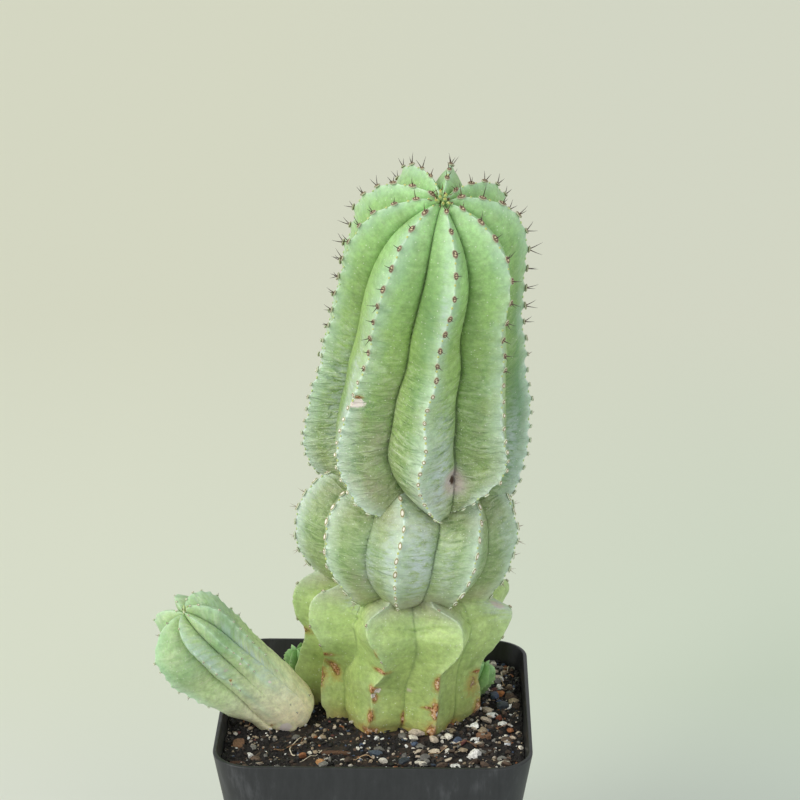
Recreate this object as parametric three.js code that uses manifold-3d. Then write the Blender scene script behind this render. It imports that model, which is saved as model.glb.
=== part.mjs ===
// Potted euphorbia: a ribbed, jointed succulent stem with one leaning offset, in a square nursery pot.
// Millimetres, +Z up, origin at the centre of the pot's underside. -Y is the front, +X is the right.
import * as THREE from 'three';
import { mergeVertices } from 'three/addons/utils/BufferGeometryUtils.js';
import Module from 'manifold-3d';

const manifoldLibrary = await Module();
manifoldLibrary.setup();

// ---- Driving dimensions ----
const pot = { height: 80, rimWidth: 86, footWidth: 60, cornerRadius: 11, wall: 1.2, floor: 1.6,
  drainRadius: 4, drainOffset: 19 };
const soil = { level: 75, mound: 1.6, moundReach: 26, lump: 0.45 };
const gap = 0.35; // clearance between pieces that touch
const stem = { x: 7.5, y: 9, rootDepth: 30, tipHeight: 159.4, ridge: 0.55,
  flankSteps: [0, 0.24, 0.52, 0.82] };
const offset = { base: [-20, -4, 85], along: [-0.63, -0.407, 0.667], ribs: 8, radius: 12.6, length: 45 };
const spine = { length: 4.2, radius: 0.34, splay: 0.45, lift: 0.35 };

// How far the stem leans to the front and to the right, in degrees, at heights above the soil.
const leanFront = [[-40, 0], [40, 0], [70, 3], [150, 30], [170, 33]];
const leanRight = [[-40, 2], [40, 3], [90, 5], [170, 5]];

// One outline along the ribs and one along the furrows for each joint of the stem: [radius, height].
const joints = [
  { name: 'root', rows: 4, straight: 0.8,
    crest: [[3, -30], [12, -25], [19, -13], [24, -3]],
    furrow: [[2.4, -30], [9, -25], [14, -13], [18, -3]] },
  { name: 'low', rows: 11, straight: 0.95,
    crest: [[24, -3], [24.6, 6], [24, 15], [24.6, 19.5], [28.4, 23.5], [30.8, 30.5], [29, 36], [23.4, 38]],
    furrow: [[18, -3], [19.4, 8], [20.2, 20], [22.8, 29], [22.4, 32], [21.5, 38]] },
  { name: 'middle', rows: 9, straight: 0.85,
    crest: [[23.4, 38], [25.8, 39.6], [29, 45.5], [31.2, 54], [30.2, 62], [27, 66.2], [23.5, 67.3]],
    furrow: [[21.5, 38], [21.8, 46], [22.4, 56], [20.5, 67.3]] },
  { name: 'top', rows: 20, straight: 0.7,
    crest: [[23.5, 67.3], [27.2, 67.9], [29.4, 70.2], [30.8, 77], [31.6, 88], [29.6, 104], [27.2, 122],
      [25.6, 140], [22.8, 150], [17.5, 156], [9.5, 160], [4, 161], [0.6, 159.6]],
    furrow: [[20.5, 67.3], [21.6, 80], [21.2, 98], [19, 120], [16.8, 138], [12.6, 151], [6.8, 156.6],
      [0.5, 159.5]] },
];

// Each rib's compass angle from the front, in degrees, at the foot, at the three joints' ends and in
// between, how full it is in the top joint, and how far its two notches sit off the usual height.
const ribs = [
  { name: 'a', low: [-66, -56], middle: [-40, -50], top: [-34, -43, -38, -46], full: 1, notches: [0, 0] },
  { name: 'b', low: [-22, -18], middle: [-7, -8], top: [10, 1, 5, 12], full: 1, notches: [2, 1.5] },
  { name: 'c', low: [20, 30], middle: [29, 40], top: [32, 44, 44, 58], full: 1, notches: [1.5, 2] },
  { name: 'd', low: [66, 70], middle: [68, 74], top: [78, 86, 86, 92], full: 0.97, notches: [-3, 0] },
  { name: 'e', low: [112, 114], middle: [112, 118], top: [120, 126, 128, 130], full: 1.02, notches: [-2, 0] },
  { name: 'f', low: [152, 154], middle: [154, 160], top: [162, 168, 168, 168], full: 1, notches: [0, 1] },
  { name: 'g', low: [192, 194], middle: [196, 202], top: [204, 208, 208, 206], full: 1, notches: [1, 0] },
  { name: 'h', low: [228, 232], middle: [238, 242], top: [244, 247, 246, 242], full: 1.05, notches: [0, -1] },
  { name: 'i', low: [262, 272], middle: [278, 278], top: [280, 282, 282, 278], full: 1.06, notches: [-2, -0.5] },
];

const colours = { pot: 0x2b2b2d, soil: 0x2f2a26, stem: 0x8aa468, offset: 0x9fbd84, bud: 0x86b84e,
  spine: 0x6b5a4c, slate: 0x5d6a72, chalk: 0xd9d8d0, bark: 0x5a4234, clay: 0xa3714a };

// Loose pieces lying in the top of the compost: place, length, width, height, turn in degrees.
const loosePieces = [
  { name: 'pumice_large', colour: 'chalk', at: [27.3, -25.8], size: [4.4, 4, 3.6], turn: 20 },
  { name: 'pumice_small', colour: 'chalk', at: [20, -23.6], size: [2.8, 2.4, 2], turn: 65 },
  { name: 'chalk_chip_front', colour: 'chalk', at: [22.2, -30.4], size: [3.6, 2, 1.6], turn: -15 },
  { name: 'chalk_chip_right', colour: 'chalk', at: [35.4, -31], size: [4.2, 2.6, 1.8], turn: 12 },
  { name: 'chalk_chip_corner', colour: 'chalk', at: [36.6, -17.5], size: [3, 2.4, 1.8], turn: 50 },
  { name: 'chalk_chip_side', colour: 'chalk', at: [35.4, -7.4], size: [3.6, 2.8, 2], turn: -30 },
  { name: 'perlite_front', colour: 'chalk', at: [13.3, -31.4], size: [2.6, 2.2, 1.8], turn: 0 },
  { name: 'perlite_left', colour: 'chalk', at: [-33.5, -25], size: [3, 2.2, 1.8], turn: 30 },
  { name: 'perlite_back', colour: 'chalk', at: [-24, 33], size: [3.4, 2.8, 2.2], turn: 80 },
  { name: 'perlite_back_right', colour: 'chalk', at: [33, 36], size: [3, 2.6, 2], turn: 10 },
  { name: 'slate_front', colour: 'slate', at: [0.6, -25], size: [4.6, 3.4, 2.4], turn: 8 },
  { name: 'slate_middle', colour: 'slate', at: [8.4, -30.4], size: [4.2, 3, 2.2], turn: -20 },
  { name: 'slate_block', colour: 'slate', at: [35.6, 5], size: [4.4, 4.6, 3], turn: 35 },
  { name: 'slate_left', colour: 'slate', at: [-33, 20], size: [4, 3, 2.2], turn: 60 },
  { name: 'slate_back', colour: 'slate', at: [12, 38], size: [4.4, 2.8, 2], turn: 5 },
  { name: 'clay_granule_right', colour: 'clay', at: [34.8, 13.4], size: [3.4, 3, 2.4], turn: 15 },
  { name: 'clay_granule_side', colour: 'clay', at: [34.6, -1.8], size: [3, 2.6, 2], turn: 70 },
  { name: 'clay_granule_front', colour: 'clay', at: [-14.2, -30.4], size: [3.2, 2.6, 2], turn: 40 },
  { name: 'clay_granule_left', colour: 'clay', at: [-36, 2], size: [3.4, 2.6, 2.2], turn: -35 },
  { name: 'bark_chip_front', colour: 'bark', at: [-9.6, -24.6], size: [9, 2.8, 1.6], turn: -6 },
  { name: 'bark_chip_left', colour: 'bark', at: [-37, -19], size: [6, 3, 1.6], turn: 75 },
  { name: 'bark_chip_corner', colour: 'bark', at: [-36.6, -30], size: [5, 2.6, 1.6], turn: 20 },
  { name: 'bark_chip_back', colour: 'bark', at: [-8, 38], size: [8, 3, 1.6], turn: 14 },
  { name: 'bark_chip_right', colour: 'bark', at: [30, -14], size: [5.4, 2.6, 1.5], turn: -40 },
];

// ---- Small tools ----
function between(table, at) {
  const last = table.length - 1;
  if (at <= table[0][0]) return table[0][1];
  for (let i = 0; i < last; i++) {
    const [x0, y0] = table[i];
    const [x1, y1] = table[i + 1];
    if (at <= x1) return y0 + ((y1 - y0) * (at - x0)) / (x1 - x0);
  }
  return table[last][1];
}

// A smooth curve through [radius, height] pairs, sampled at equal steps of length.
function outlinePoints(pairs, rows) {
  const points = pairs.map(([r, h]) => new THREE.Vector3(r, h, 0));
  const curve = new THREE.CatmullRomCurve3(points, false, 'centripetal');
  return curve.getSpacedPoints(rows).map((p) => [p.x, p.y]);
}

// A value that runs smoothly through a few evenly spaced ones.
function along(values, fraction) {
  const place = fraction * (values.length - 1);
  const i = Math.min(Math.floor(place), values.length - 2);
  const t = place - i;
  const eased = values.length > 2 ? t * t * (3 - 2 * t) : t;
  return values[i] + (values[i + 1] - values[i]) * eased;
}

function closedGeometry(positions, indices) {
  const geometry = new THREE.BufferGeometry();
  geometry.setAttribute('position', new THREE.Float32BufferAttribute(positions, 3));
  geometry.setIndex(indices);
  return geometry;
}

function toSolid(geometry) {
  const bare = geometry.clone();
  bare.deleteAttribute('normal');
  bare.deleteAttribute('uv');
  const merged = mergeVertices(bare, 1e-4);
  return new manifoldLibrary.Manifold(new manifoldLibrary.Mesh({
    numProp: 3,
    vertProperties: new Float32Array(merged.attributes.position.array),
    triVerts: new Uint32Array(merged.index.array),
  }));
}

function fromSolid(solid) {
  const mesh = solid.getMesh();
  return closedGeometry(Array.from(mesh.vertProperties), Array.from(mesh.triVerts));
}

function largestPiece(solid) {
  return solid.decompose().sort((one, other) => other.volume() - one.volume())[0];
}

const assembly = new THREE.Group();

function addPiece(name, geometry, colour, roughness) {
  const shaded = geometry.index ? geometry.toNonIndexed() : geometry;
  shaded.computeVertexNormals();
  const material = new THREE.MeshStandardMaterial({ color: colours[colour], roughness, metalness: 0 });
  const mesh = new THREE.Mesh(shaded, material);
  mesh.name = name;
  assembly.add(mesh);
}

// A grid of rings closed by one point at each end. Rings run upwards, points run anticlockwise from above.
function skinRings(rings, lowPoint, highPoint) {
  const count = rings[0].length;
  const positions = [...lowPoint];
  rings.forEach((ring) => ring.forEach((p) => positions.push(...p)));
  positions.push(...highPoint);
  const lastVertex = rings.length * count + 1;
  const vertexOf = (row, column) => 1 + row * count + (column % count);
  const indices = [];
  for (let column = 0; column < count; column++) {
    indices.push(0, vertexOf(0, column + 1), vertexOf(0, column));
    for (let row = 0; row + 1 < rings.length; row++) {
      const corners = [vertexOf(row, column), vertexOf(row, column + 1), vertexOf(row + 1, column + 1),
        vertexOf(row + 1, column)];
      indices.push(corners[0], corners[1], corners[2], corners[0], corners[2], corners[3]);
    }
    indices.push(vertexOf(rings.length - 1, column), vertexOf(rings.length - 1, column + 1), lastVertex);
  }
  return closedGeometry(positions, indices);
}

// ---- Pot ----
function potHalfWidth(z) {
  return (pot.footWidth + ((pot.rimWidth - pot.footWidth) * z) / pot.height) / 2;
}

// A square ring with round corners, anticlockwise from the middle of its right side.
function squareRing(half, radius, z, stepsPerCorner) {
  const ring = [];
  for (let corner = 0; corner < 4; corner++) {
    for (let step = 0; step <= stepsPerCorner; step++) {
      const turn = ((corner + step / stepsPerCorner) * Math.PI) / 2;
      const middle = ((corner + 0.5) * Math.PI) / 2;
      const centre = (half - radius) * Math.SQRT2;
      const x = centre * Math.cos(middle) + radius * Math.cos(turn);
      const y = centre * Math.sin(middle) + radius * Math.sin(turn);
      ring.push([x, y, z]);
    }
  }
  return ring;
}

function taperedBlock(lowZ, highZ, inset, stepsPerCorner = 6) {
  const radius = pot.cornerRadius - inset;
  const rings = [lowZ, highZ].map((z) => squareRing(potHalfWidth(z) - inset, radius, z, stepsPerCorner));
  return skinRings(rings, [0, 0, lowZ], [0, 0, highZ]);
}

function drainHole(x, y) {
  const hole = new THREE.CylinderGeometry(pot.drainRadius, pot.drainRadius, pot.floor * 4, 20);
  return hole.rotateX(Math.PI / 2).translate(x, y, 0);
}

function makePot() {
  const hollow = taperedBlock(pot.floor, pot.height + 2, pot.wall);
  let shell = toSolid(taperedBlock(0, pot.height, 0)).subtract(toSolid(hollow));
  for (const [sideX, sideY] of [[1, 1], [1, -1], [-1, 1], [-1, -1]]) {
    shell = shell.subtract(toSolid(drainHole(sideX * pot.drainOffset, sideY * pot.drainOffset)));
  }
  addPiece('pot', fromSolid(shell), 'pot', 0.5);
}

// ---- Main stem ----
// The stem's middle line, worked out step by step from its lean.
const axisStep = 1;
const axisPoints = [];
{
  const point = new THREE.Vector3(stem.x, stem.y, soil.level);
  const directionAt = (h) => {
    const right = Math.sin(THREE.MathUtils.degToRad(between(leanRight, h)));
    const front = -Math.sin(THREE.MathUtils.degToRad(between(leanFront, h)));
    return new THREE.Vector3(right, front, Math.sqrt(1 - right * right - front * front));
  };
  point.addScaledVector(directionAt(0), -stem.rootDepth - 2);
  for (let h = -stem.rootDepth - 2; h <= stem.tipHeight + 6; h += axisStep) {
    axisPoints.push({ h, point: point.clone(), direction: directionAt(h) });
    point.addScaledVector(directionAt(h + axisStep / 2), axisStep);
  }
}

function stemFrame(h) {
  const place = (h - axisPoints[0].h) / axisStep;
  const i = Math.max(0, Math.min(axisPoints.length - 2, Math.floor(place)));
  const t = place - i;
  const origin = axisPoints[i].point.clone().lerp(axisPoints[i + 1].point, t);
  const up = axisPoints[i].direction.clone().lerp(axisPoints[i + 1].direction, t).normalize();
  const right = new THREE.Vector3(1, 0, 0).addScaledVector(up, -up.x).normalize();
  const front = new THREE.Vector3().crossVectors(right, up);
  return { origin, up, right, front };
}

function stemPoint(degrees, radius, h) {
  const { origin, right, front } = stemFrame(h);
  const angle = THREE.MathUtils.degToRad(degrees);
  origin.addScaledVector(right, radius * Math.sin(angle));
  return origin.addScaledVector(front, radius * Math.cos(angle));
}

// The share of the rib's height that is left at a fraction of the way from its crest to the furrow.
// A larger stem.ridge makes a more pointed crest.
function flankShare(fraction, straight) {
  const archAt = (f) => Math.sqrt(1 - ((f + stem.ridge) / (1 + stem.ridge)) ** 2);
  const arch = archAt(fraction) / archAt(0);
  return arch * (1 - straight) + (1 - fraction) * straight;
}

function notchShift(rib, h) {
  const [low, high] = rib.notches;
  const near = (centre, reach) => Math.max(0, 1 - Math.abs(h - centre) / reach);
  return low * near(38, 14) + high * near(67.3, 10);
}

function ribAngle(rib, jointName, fraction) {
  if (jointName === 'root') return rib.low[0];
  return along(rib[jointName], fraction);
}

// Rows of the stem: for each rib its crest, and for each furrow its bottom, joint by joint.
function stemRows() {
  const rows = [];
  for (const joint of joints) {
    const crest = outlinePoints(joint.crest, joint.rows);
    const furrow = outlinePoints(joint.furrow, joint.rows);
    const first = joint.name === 'root' ? 0 : 1;
    for (let row = first; row <= joint.rows; row++) {
      const fraction = row / joint.rows;
      const fullness = joint.name === 'top' ? Math.sin(Math.PI * Math.min(1, fraction * 1.4) * 0.5) : 0;
      const crests = ribs.map((rib) => ({
        angle: ribAngle(rib, joint.name, fraction),
        radius: crest[row][0] * (1 + (rib.full - 1) * fullness),
        height: crest[row][1] + notchShift(rib, crest[row][1]),
      }));
      const [radius, height] = furrow[row];
      rows.push({ crests, furrow: { radius, height }, straight: joint.straight, jointName: joint.name });
    }
  }
  return rows;
}

// A point on a rib's flank, at a fraction of the way from its crest to the furrow beside it.
function flankPoint(row, crest, furrowAngle, fraction, extra) {
  const share = fraction === 1 ? 0 : flankShare(fraction, row.straight);
  const angle = crest.angle + (furrowAngle - crest.angle) * fraction;
  const radius = row.furrow.radius + (crest.radius - row.furrow.radius) * share;
  const height = row.furrow.height + (crest.height - row.furrow.height) * share;
  return stemPoint(angle, radius + extra, height).toArray();
}

// One ring of the stem, grown by `extra` all round.
function stemRing(row, extra) {
  const ring = [];
  row.crests.forEach((crest, i) => {
    const isLast = i + 1 === row.crests.length;
    const next = row.crests[isLast ? 0 : i + 1];
    const following = { ...next, angle: next.angle + (isLast ? 360 : 0) };
    const furrowAngle = (crest.angle + following.angle) / 2;
    stem.flankSteps.forEach((fraction) => ring.push(flankPoint(row, crest, furrowAngle, fraction, extra)));
    ring.push(flankPoint(row, crest, furrowAngle, 1, extra));
    stem.flankSteps.slice(1).reverse().forEach((fraction) => {
      ring.push(flankPoint(row, following, furrowAngle, fraction, extra));
    });
  });
  return ring;
}

function stemGeometry(extra = 0) {
  const rings = stemRows().map((row) => stemRing(row, extra));
  const foot = stemPoint(0, 0, -stem.rootDepth - extra).toArray();
  const tip = stemPoint(0, 0, stem.tipHeight + extra).toArray();
  return skinRings(rings, foot, tip);
}

// ---- Offset and buds: straight little ribbed stems ----
function straightFrame(base, direction) {
  const origin = new THREE.Vector3(...base);
  const up = new THREE.Vector3(...direction).normalize();
  const right = new THREE.Vector3(0, 0, 1).cross(up).normalize();
  const front = new THREE.Vector3().crossVectors(right, up);
  return { origin, up, right, front };
}

function ribbedStem({ base, direction, ribCount, crest, furrow, rows, turn = 0, columns = [0, 0.3, 0.7] }) {
  const { origin, up, right, front } = straightFrame(base, direction);
  const crestPoints = outlinePoints(crest, rows);
  const furrowPoints = outlinePoints(furrow, rows);
  const pointAt = (angle, radius, height) => {
    const point = origin.clone().addScaledVector(up, height);
    point.addScaledVector(right, radius * Math.sin(angle));
    return point.addScaledVector(front, radius * Math.cos(angle)).toArray();
  };
  const fractions = [...columns, 1, ...columns.slice(1).reverse()];
  const rings = crestPoints.map(([crestRadius, crestHeight], row) => {
    const [furrowRadius, furrowHeight] = furrowPoints[row];
    const ring = [];
    for (let rib = 0; rib < ribCount; rib++) {
      fractions.forEach((fraction, column) => {
        const share = fraction === 1 ? 0 : flankShare(fraction, 0.15);
        const angle = turn + ((rib + column / fractions.length) * 2 * Math.PI) / ribCount;
        ring.push(pointAt(angle, furrowRadius + (crestRadius - furrowRadius) * share,
          furrowHeight + (crestHeight - furrowHeight) * share));
      });
    }
    return ring;
  });
  const lowEnd = crest[0][1] - 0.5;
  const highEnd = furrow[furrow.length - 1][1];
  return skinRings(rings, pointAt(0, 0, lowEnd), pointAt(0, 0, highEnd));
}

function offsetGeometry(extra = 0) {
  const r = offset.radius + extra;
  const top = offset.length + extra;
  return ribbedStem({
    base: offset.base, direction: offset.along, ribCount: offset.ribs, rows: 15, turn: 0.2,
    crest: [[1.2, -7 - extra], [r * 0.5, -5], [r * 0.78, 1], [r * 0.9, 11], [r, 24], [r * 0.98, 34],
      [r * 0.8, 40.6], [r * 0.5, top - 1], [1, top]],
    furrow: [[1, -6.8 - extra], [r * 0.42, -4.6], [r * 0.62, 3], [r * 0.7, 14], [r * 0.74, 26],
      [r * 0.62, 36], [r * 0.36, top - 3.4], [0.6, top - 1.2]],
  });
}

function budGeometry(base, direction, size) {
  const scaled = ([radius, height]) => [radius * size, height * size];
  return ribbedStem({
    base, direction, ribCount: 5, rows: 6, columns: [0, 0.5],
    crest: [[0.6, -2], [2.6, 0], [3.2, 4], [1.9, 7.2], [0.4, 8]].map(scaled),
    furrow: [[0.5, -1.8], [2, 0.4], [2.3, 4], [1.3, 6.6], [0.3, 7.6]].map(scaled),
  });
}

// ---- Compost ----
function soilHeight(x, y) {
  const fromStem = Math.hypot(x - stem.x, y - stem.y);
  const rise = soil.mound * Math.max(0, 1 - fromStem / (soil.moundReach * 1.7));
  const lumps = Math.sin(x * 0.31 + 1.2) * Math.cos(y * 0.27 - 0.6) + 0.6 * Math.sin(x * 0.63 - y * 0.52);
  const backFall = y > 0 ? -0.03 * y : 0;
  return soil.level + rise + soil.lump * lumps + backFall;
}

function soilGeometry() {
  const ringsUp = 9;
  const inset = pot.wall + gap;
  const bottomZ = pot.floor + gap;
  const edge = squareRing(potHalfWidth(soil.level - 2) - inset, pot.cornerRadius - inset, 0, 8);
  const foot = squareRing(potHalfWidth(bottomZ) - inset, pot.cornerRadius - inset, bottomZ, 8);
  const rings = [foot];
  for (let i = 0; i < ringsUp; i++) {
    const scale = 1 - i / ringsUp;
    const edgeDrop = i === 0 ? 0.8 : 0;
    rings.push(edge.map(([x, y]) => [x * scale, y * scale, soilHeight(x * scale, y * scale) - edgeDrop]));
  }
  return skinRings(rings, [0, 0, bottomZ], [0, 0, soilHeight(0, 0)]);
}

function stoneShape({ at, size, turn }, index, extra = 0) {
  const lump = mergeVertices(stripped(new THREE.DodecahedronGeometry(0.5, 0)), 1e-3);
  const positions = lump.attributes.position;
  const [x, y] = at;
  for (let i = 0; i < positions.count; i++) {
    const wobble = 1 + 0.16 * Math.sin(i * 12.9898 + index * 4.1);
    const [length, width, height] = size.map((s) => s * wobble * 0.92 + extra * 2);
    positions.setXYZ(i, positions.getX(i) * length, positions.getY(i) * width, positions.getZ(i) * height);
  }
  lump.rotateZ(THREE.MathUtils.degToRad(turn));
  return lump.translate(x, y, soilHeight(x, y) + size[2] * 0.18);
}

function stripped(geometry) {
  geometry.deleteAttribute('normal');
  geometry.deleteAttribute('uv');
  return geometry;
}

// ---- Spines ----
// A pair of spines that spread sideways from a small horny shield on a rib's crest.
function spinePair(rib, row, nextRow) {
  const crest = row.crests[rib];
  const above = nextRow.crests[rib];
  const root = stemPoint(crest.angle, crest.radius, crest.height);
  const tangent = stemPoint(above.angle, above.radius, above.height).sub(root).normalize();
  const { origin } = stemFrame(crest.height);
  const outward = root.clone().sub(origin);
  outward.addScaledVector(tangent, -outward.dot(tangent)).normalize();
  const side = new THREE.Vector3().crossVectors(tangent, outward).normalize();
  const start = root.clone().addScaledVector(outward, spine.lift + spine.radius);
  const shield = new THREE.IcosahedronGeometry(spine.radius * 1.6, 0).translate(start.x, start.y, start.z);
  let solid = toSolid(shield);
  for (const spread of [-1, 1]) {
    const direction = outward.clone().addScaledVector(side, spread * spine.splay).normalize();
    const cone = new THREE.ConeGeometry(spine.radius, spine.length, 5).translate(0, spine.length / 2, 0);
    cone.applyQuaternion(new THREE.Quaternion().setFromUnitVectors(new THREE.Vector3(0, 1, 0), direction));
    solid = solid.add(toSolid(cone.translate(start.x, start.y, start.z)));
  }
  return solid;
}

// ---- Assembly ----
makePot();

const stemSolid = toSolid(stemGeometry());
const stemClearance = toSolid(stemGeometry(gap));
addPiece('main_stem', fromSolid(stemSolid), 'stem', 0.6);

const offsetSolid = largestPiece(toSolid(offsetGeometry()).subtract(stemClearance));
const offsetClearance = toSolid(offsetGeometry(gap));
addPiece('side_stem', fromSolid(offsetSolid), 'offset', 0.6);

const buds = [
  { name: 'bud_left', base: [-17, 13, 84], direction: [-0.75, -0.2, 0.6], size: 1.05 },
  { name: 'bud_right', base: [28, 16, 82], direction: [0.45, -0.1, 0.9], size: 1.3 },
];
for (const { name, base, direction, size } of buds) {
  const grown = toSolid(budGeometry(base, direction, size)).subtract(stemClearance).subtract(offsetClearance);
  addPiece(name, fromSolid(largestPiece(grown)), 'bud', 0.55);
}

let compost = toSolid(soilGeometry()).subtract(stemClearance).subtract(offsetClearance);
buds.forEach(({ base, direction, size }) => {
  compost = compost.subtract(toSolid(budGeometry(base, direction, size + 0.12)));
});
loosePieces.forEach((piece, index) => {
  compost = compost.subtract(toSolid(stoneShape(piece, index, gap)));
});
addPiece('soil', fromSolid(largestPiece(compost)), 'soil', 0.95);
loosePieces.forEach((piece, index) => addPiece(piece.name, stoneShape(piece, index), piece.colour, 0.85));

const topRows = stemRows().filter((row) => row.jointName === 'top');
ribs.forEach((rib, index) => {
  [['low', 10], ['high', 14]].forEach(([place, row]) => {
    const pair = spinePair(index, topRows[row], topRows[row + 1]);
    addPiece(`spines_${rib.name}_${place}`, fromSolid(pair), 'spine', 0.6);
  });
});

export default assembly;
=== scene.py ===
import math
import random

import bpy
import numpy as np
from mathutils import Matrix, Vector, noise


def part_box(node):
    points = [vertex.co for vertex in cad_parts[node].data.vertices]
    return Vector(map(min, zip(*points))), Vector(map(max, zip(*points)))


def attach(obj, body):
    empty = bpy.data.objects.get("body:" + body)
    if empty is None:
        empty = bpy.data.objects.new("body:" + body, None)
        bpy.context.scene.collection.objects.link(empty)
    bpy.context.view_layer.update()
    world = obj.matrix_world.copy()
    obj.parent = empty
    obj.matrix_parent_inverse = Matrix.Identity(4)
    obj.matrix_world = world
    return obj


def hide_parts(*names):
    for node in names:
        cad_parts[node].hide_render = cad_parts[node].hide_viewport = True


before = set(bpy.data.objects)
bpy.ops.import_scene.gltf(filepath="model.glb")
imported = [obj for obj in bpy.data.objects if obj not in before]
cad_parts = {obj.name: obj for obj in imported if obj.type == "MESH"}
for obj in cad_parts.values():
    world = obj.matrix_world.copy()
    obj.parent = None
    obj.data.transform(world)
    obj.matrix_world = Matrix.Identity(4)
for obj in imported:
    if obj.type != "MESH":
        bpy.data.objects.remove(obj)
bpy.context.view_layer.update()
mm = 0.001
bpy.context.scene.view_settings.view_transform = "Standard"
print("frame loaded:", len(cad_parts), "nodes")


def paint(hexCode, alpha=1.0):
    channels = [int(hexCode[i:i + 2], 16) / 255 for i in (1, 3, 5)]
    return [c / 12.92 if c <= 0.04045 else ((c + 0.055) / 1.055) ** 2.4 for c in channels] + [alpha]


# Adds one node and gives one of its outputs. Inputs are fixed values or the sockets that feed them, settings are
# the node's own.
def addNode(tree, kind, inputs=None, out=0, stops=None, **settings):
    added = tree.nodes.new("ShaderNode" + kind)
    for name, value in settings.items():
        setattr(added, name, value)
    for place, value in (inputs or {}).items():
        socket = added.inputs[place]
        if isinstance(value, bpy.types.NodeSocket):
            tree.links.new(value, socket)
        else:
            socket.default_value = value
    if stops:
        ramp = added.color_ramp
        while len(ramp.elements) < len(stops):
            ramp.elements.new(0.5)
        for element, (position, value) in zip(ramp.elements, stops):
            element.position = position
            element.color = paint(value) if isinstance(value, str) else (value, value, value, 1)
    return added.outputs[out]


# A new material with its shader, whose plain values are set on the shader's own sockets.
def newMaterial(name, **values):
    material = bpy.data.materials.new(name)
    material.use_nodes = True
    tree = material.node_tree
    shader = tree.nodes["Principled BSDF"]
    for key, value in values.items():
        shader.inputs[key.replace("_", " ")].default_value = value
    return material, tree, shader


# Links sockets to a shader's inputs, whose names have underscores for spaces here.
def feedShader(shader, **sockets):
    for key, socket in sockets.items():
        shader.id_data.links.new(socket, shader.inputs[key.replace("_", " ")])


# Selects these pieces and nothing else. The last one is the active one.
def pickOnly(*pieces):
    bpy.ops.object.select_all(action="DESELECT")
    for piece in pieces:
        piece.select_set(True)
    bpy.context.view_layer.objects.active = pieces[-1]


def joinPieces(name, pieces):
    pickOnly(*pieces)
    bpy.ops.object.join()
    whole = bpy.context.object
    whole.name = whole.data.name = name
    print(name + ":", len(pieces), "joined,", len(whole.data.polygons), "faces")
    return whole


# Runs one mesh operator on the active piece: on all of it, or on the edges or faces that a test chooses.
def editMesh(operator, level=None, chosen=None, **settings):
    mesh = bpy.context.object.data
    bpy.ops.object.mode_set(mode="EDIT")
    if level:
        bpy.ops.mesh.select_mode(type=level)
    bpy.ops.mesh.select_all(action="DESELECT" if chosen else "SELECT")
    if chosen:
        bpy.ops.object.mode_set(mode="OBJECT")
        for item in mesh.edges if level == "EDGE" else mesh.polygons:
            item.select = chosen(item)
        bpy.ops.object.mode_set(mode="EDIT")
    operator(**settings)
    bpy.ops.object.mode_set(mode="OBJECT")


def applyModifier(piece, kind, **settings):
    modifier = piece.modifiers.new(kind.lower(), kind)
    for key, value in settings.items():
        setattr(modifier, key, value)
    bpy.context.view_layer.objects.active = piece
    bpy.ops.object.modifier_apply(modifier=modifier.name)


def finishPiece(piece, material, slot, replaced=()):
    piece.data.materials.clear()
    piece.data.materials.append(material)
    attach(piece, "root")
    if replaced:
        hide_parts(*replaced)


# The distance along a line from its start to each of its points, with each step raised to a power.
def lengthAlong(points, power=1):
    return np.concatenate([[0], np.cumsum(np.linalg.norm(np.diff(points, axis=0), axis=1) ** power)])


# A centripetal curve through given points: a dense line, and how many steps it has from point to point.
def smoothLine(points, perSpan=20):
    given = np.array(points, float)
    padded = np.vstack([2 * given[0] - given[1], given, 2 * given[-1] - given[-2]])
    knots = lengthAlong(padded, 0.5)
    line = []
    for i in range(len(given) - 1):
        t = np.linspace(knots[i + 1], knots[i + 2], perSpan, endpoint=False)[:, None]
        k0, k1, k2, k3 = knots[i:i + 4]
        p0, p1, p2, p3 = padded[i:i + 4]
        a1 = (k1 - t) / (k1 - k0) * p0 + (t - k0) / (k1 - k0) * p1
        a2 = (k2 - t) / (k2 - k1) * p1 + (t - k1) / (k2 - k1) * p2
        a3 = (k3 - t) / (k3 - k2) * p2 + (t - k2) / (k3 - k2) * p3
        b1 = (k2 - t) / (k2 - k0) * a1 + (t - k0) / (k2 - k0) * a2
        b2 = (k3 - t) / (k3 - k1) * a2 + (t - k1) / (k3 - k1) * a3
        line.append((k2 - t) / (k2 - k1) * b1 + (t - k1) / (k2 - k1) * b2)
    line.append(given[-1:])
    return np.vstack(line), perSpan


# The outline at evenly spaced rows between each pair of stops.
def outlineRows(points, stops, rowCounts):
    line, perSpan = smoothLine(points)
    rows = []
    for first, last, count in zip(stops, stops[1:], rowCounts):
        part = line[first * perSpan:last * perSpan + 1]
        length = lengthAlong(part)
        wanted = np.linspace(0, length[-1], count, endpoint=False)
        rows.append(np.stack([np.interp(wanted, length, part[:, k]) for k in range(2)], axis=1))
    rows.append(line[-1:])
    return np.vstack(rows)


def smoothValues(values, fractions):
    spots = np.linspace(0, 1, len(values))
    line, perSpan = smoothLine(np.stack([spots, values], axis=1) * [[1, 0.01]])
    return np.interp(fractions, line[:, 0], line[:, 1] * 100)


# The stem's middle line: it starts at the foot and leans to the front as it rises.
stemLine = {
    "footX": 7.5,
    "footY": 9.0,
    "soilLevel": 75.0,
    "leanFront": [(-40, 0), (40, 0), (70, 3), (150, 30), (170, 33)],
    "leanRight": [(-40, 2), (40, 3), (90, 4.6), (170, 4)],
}


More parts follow.
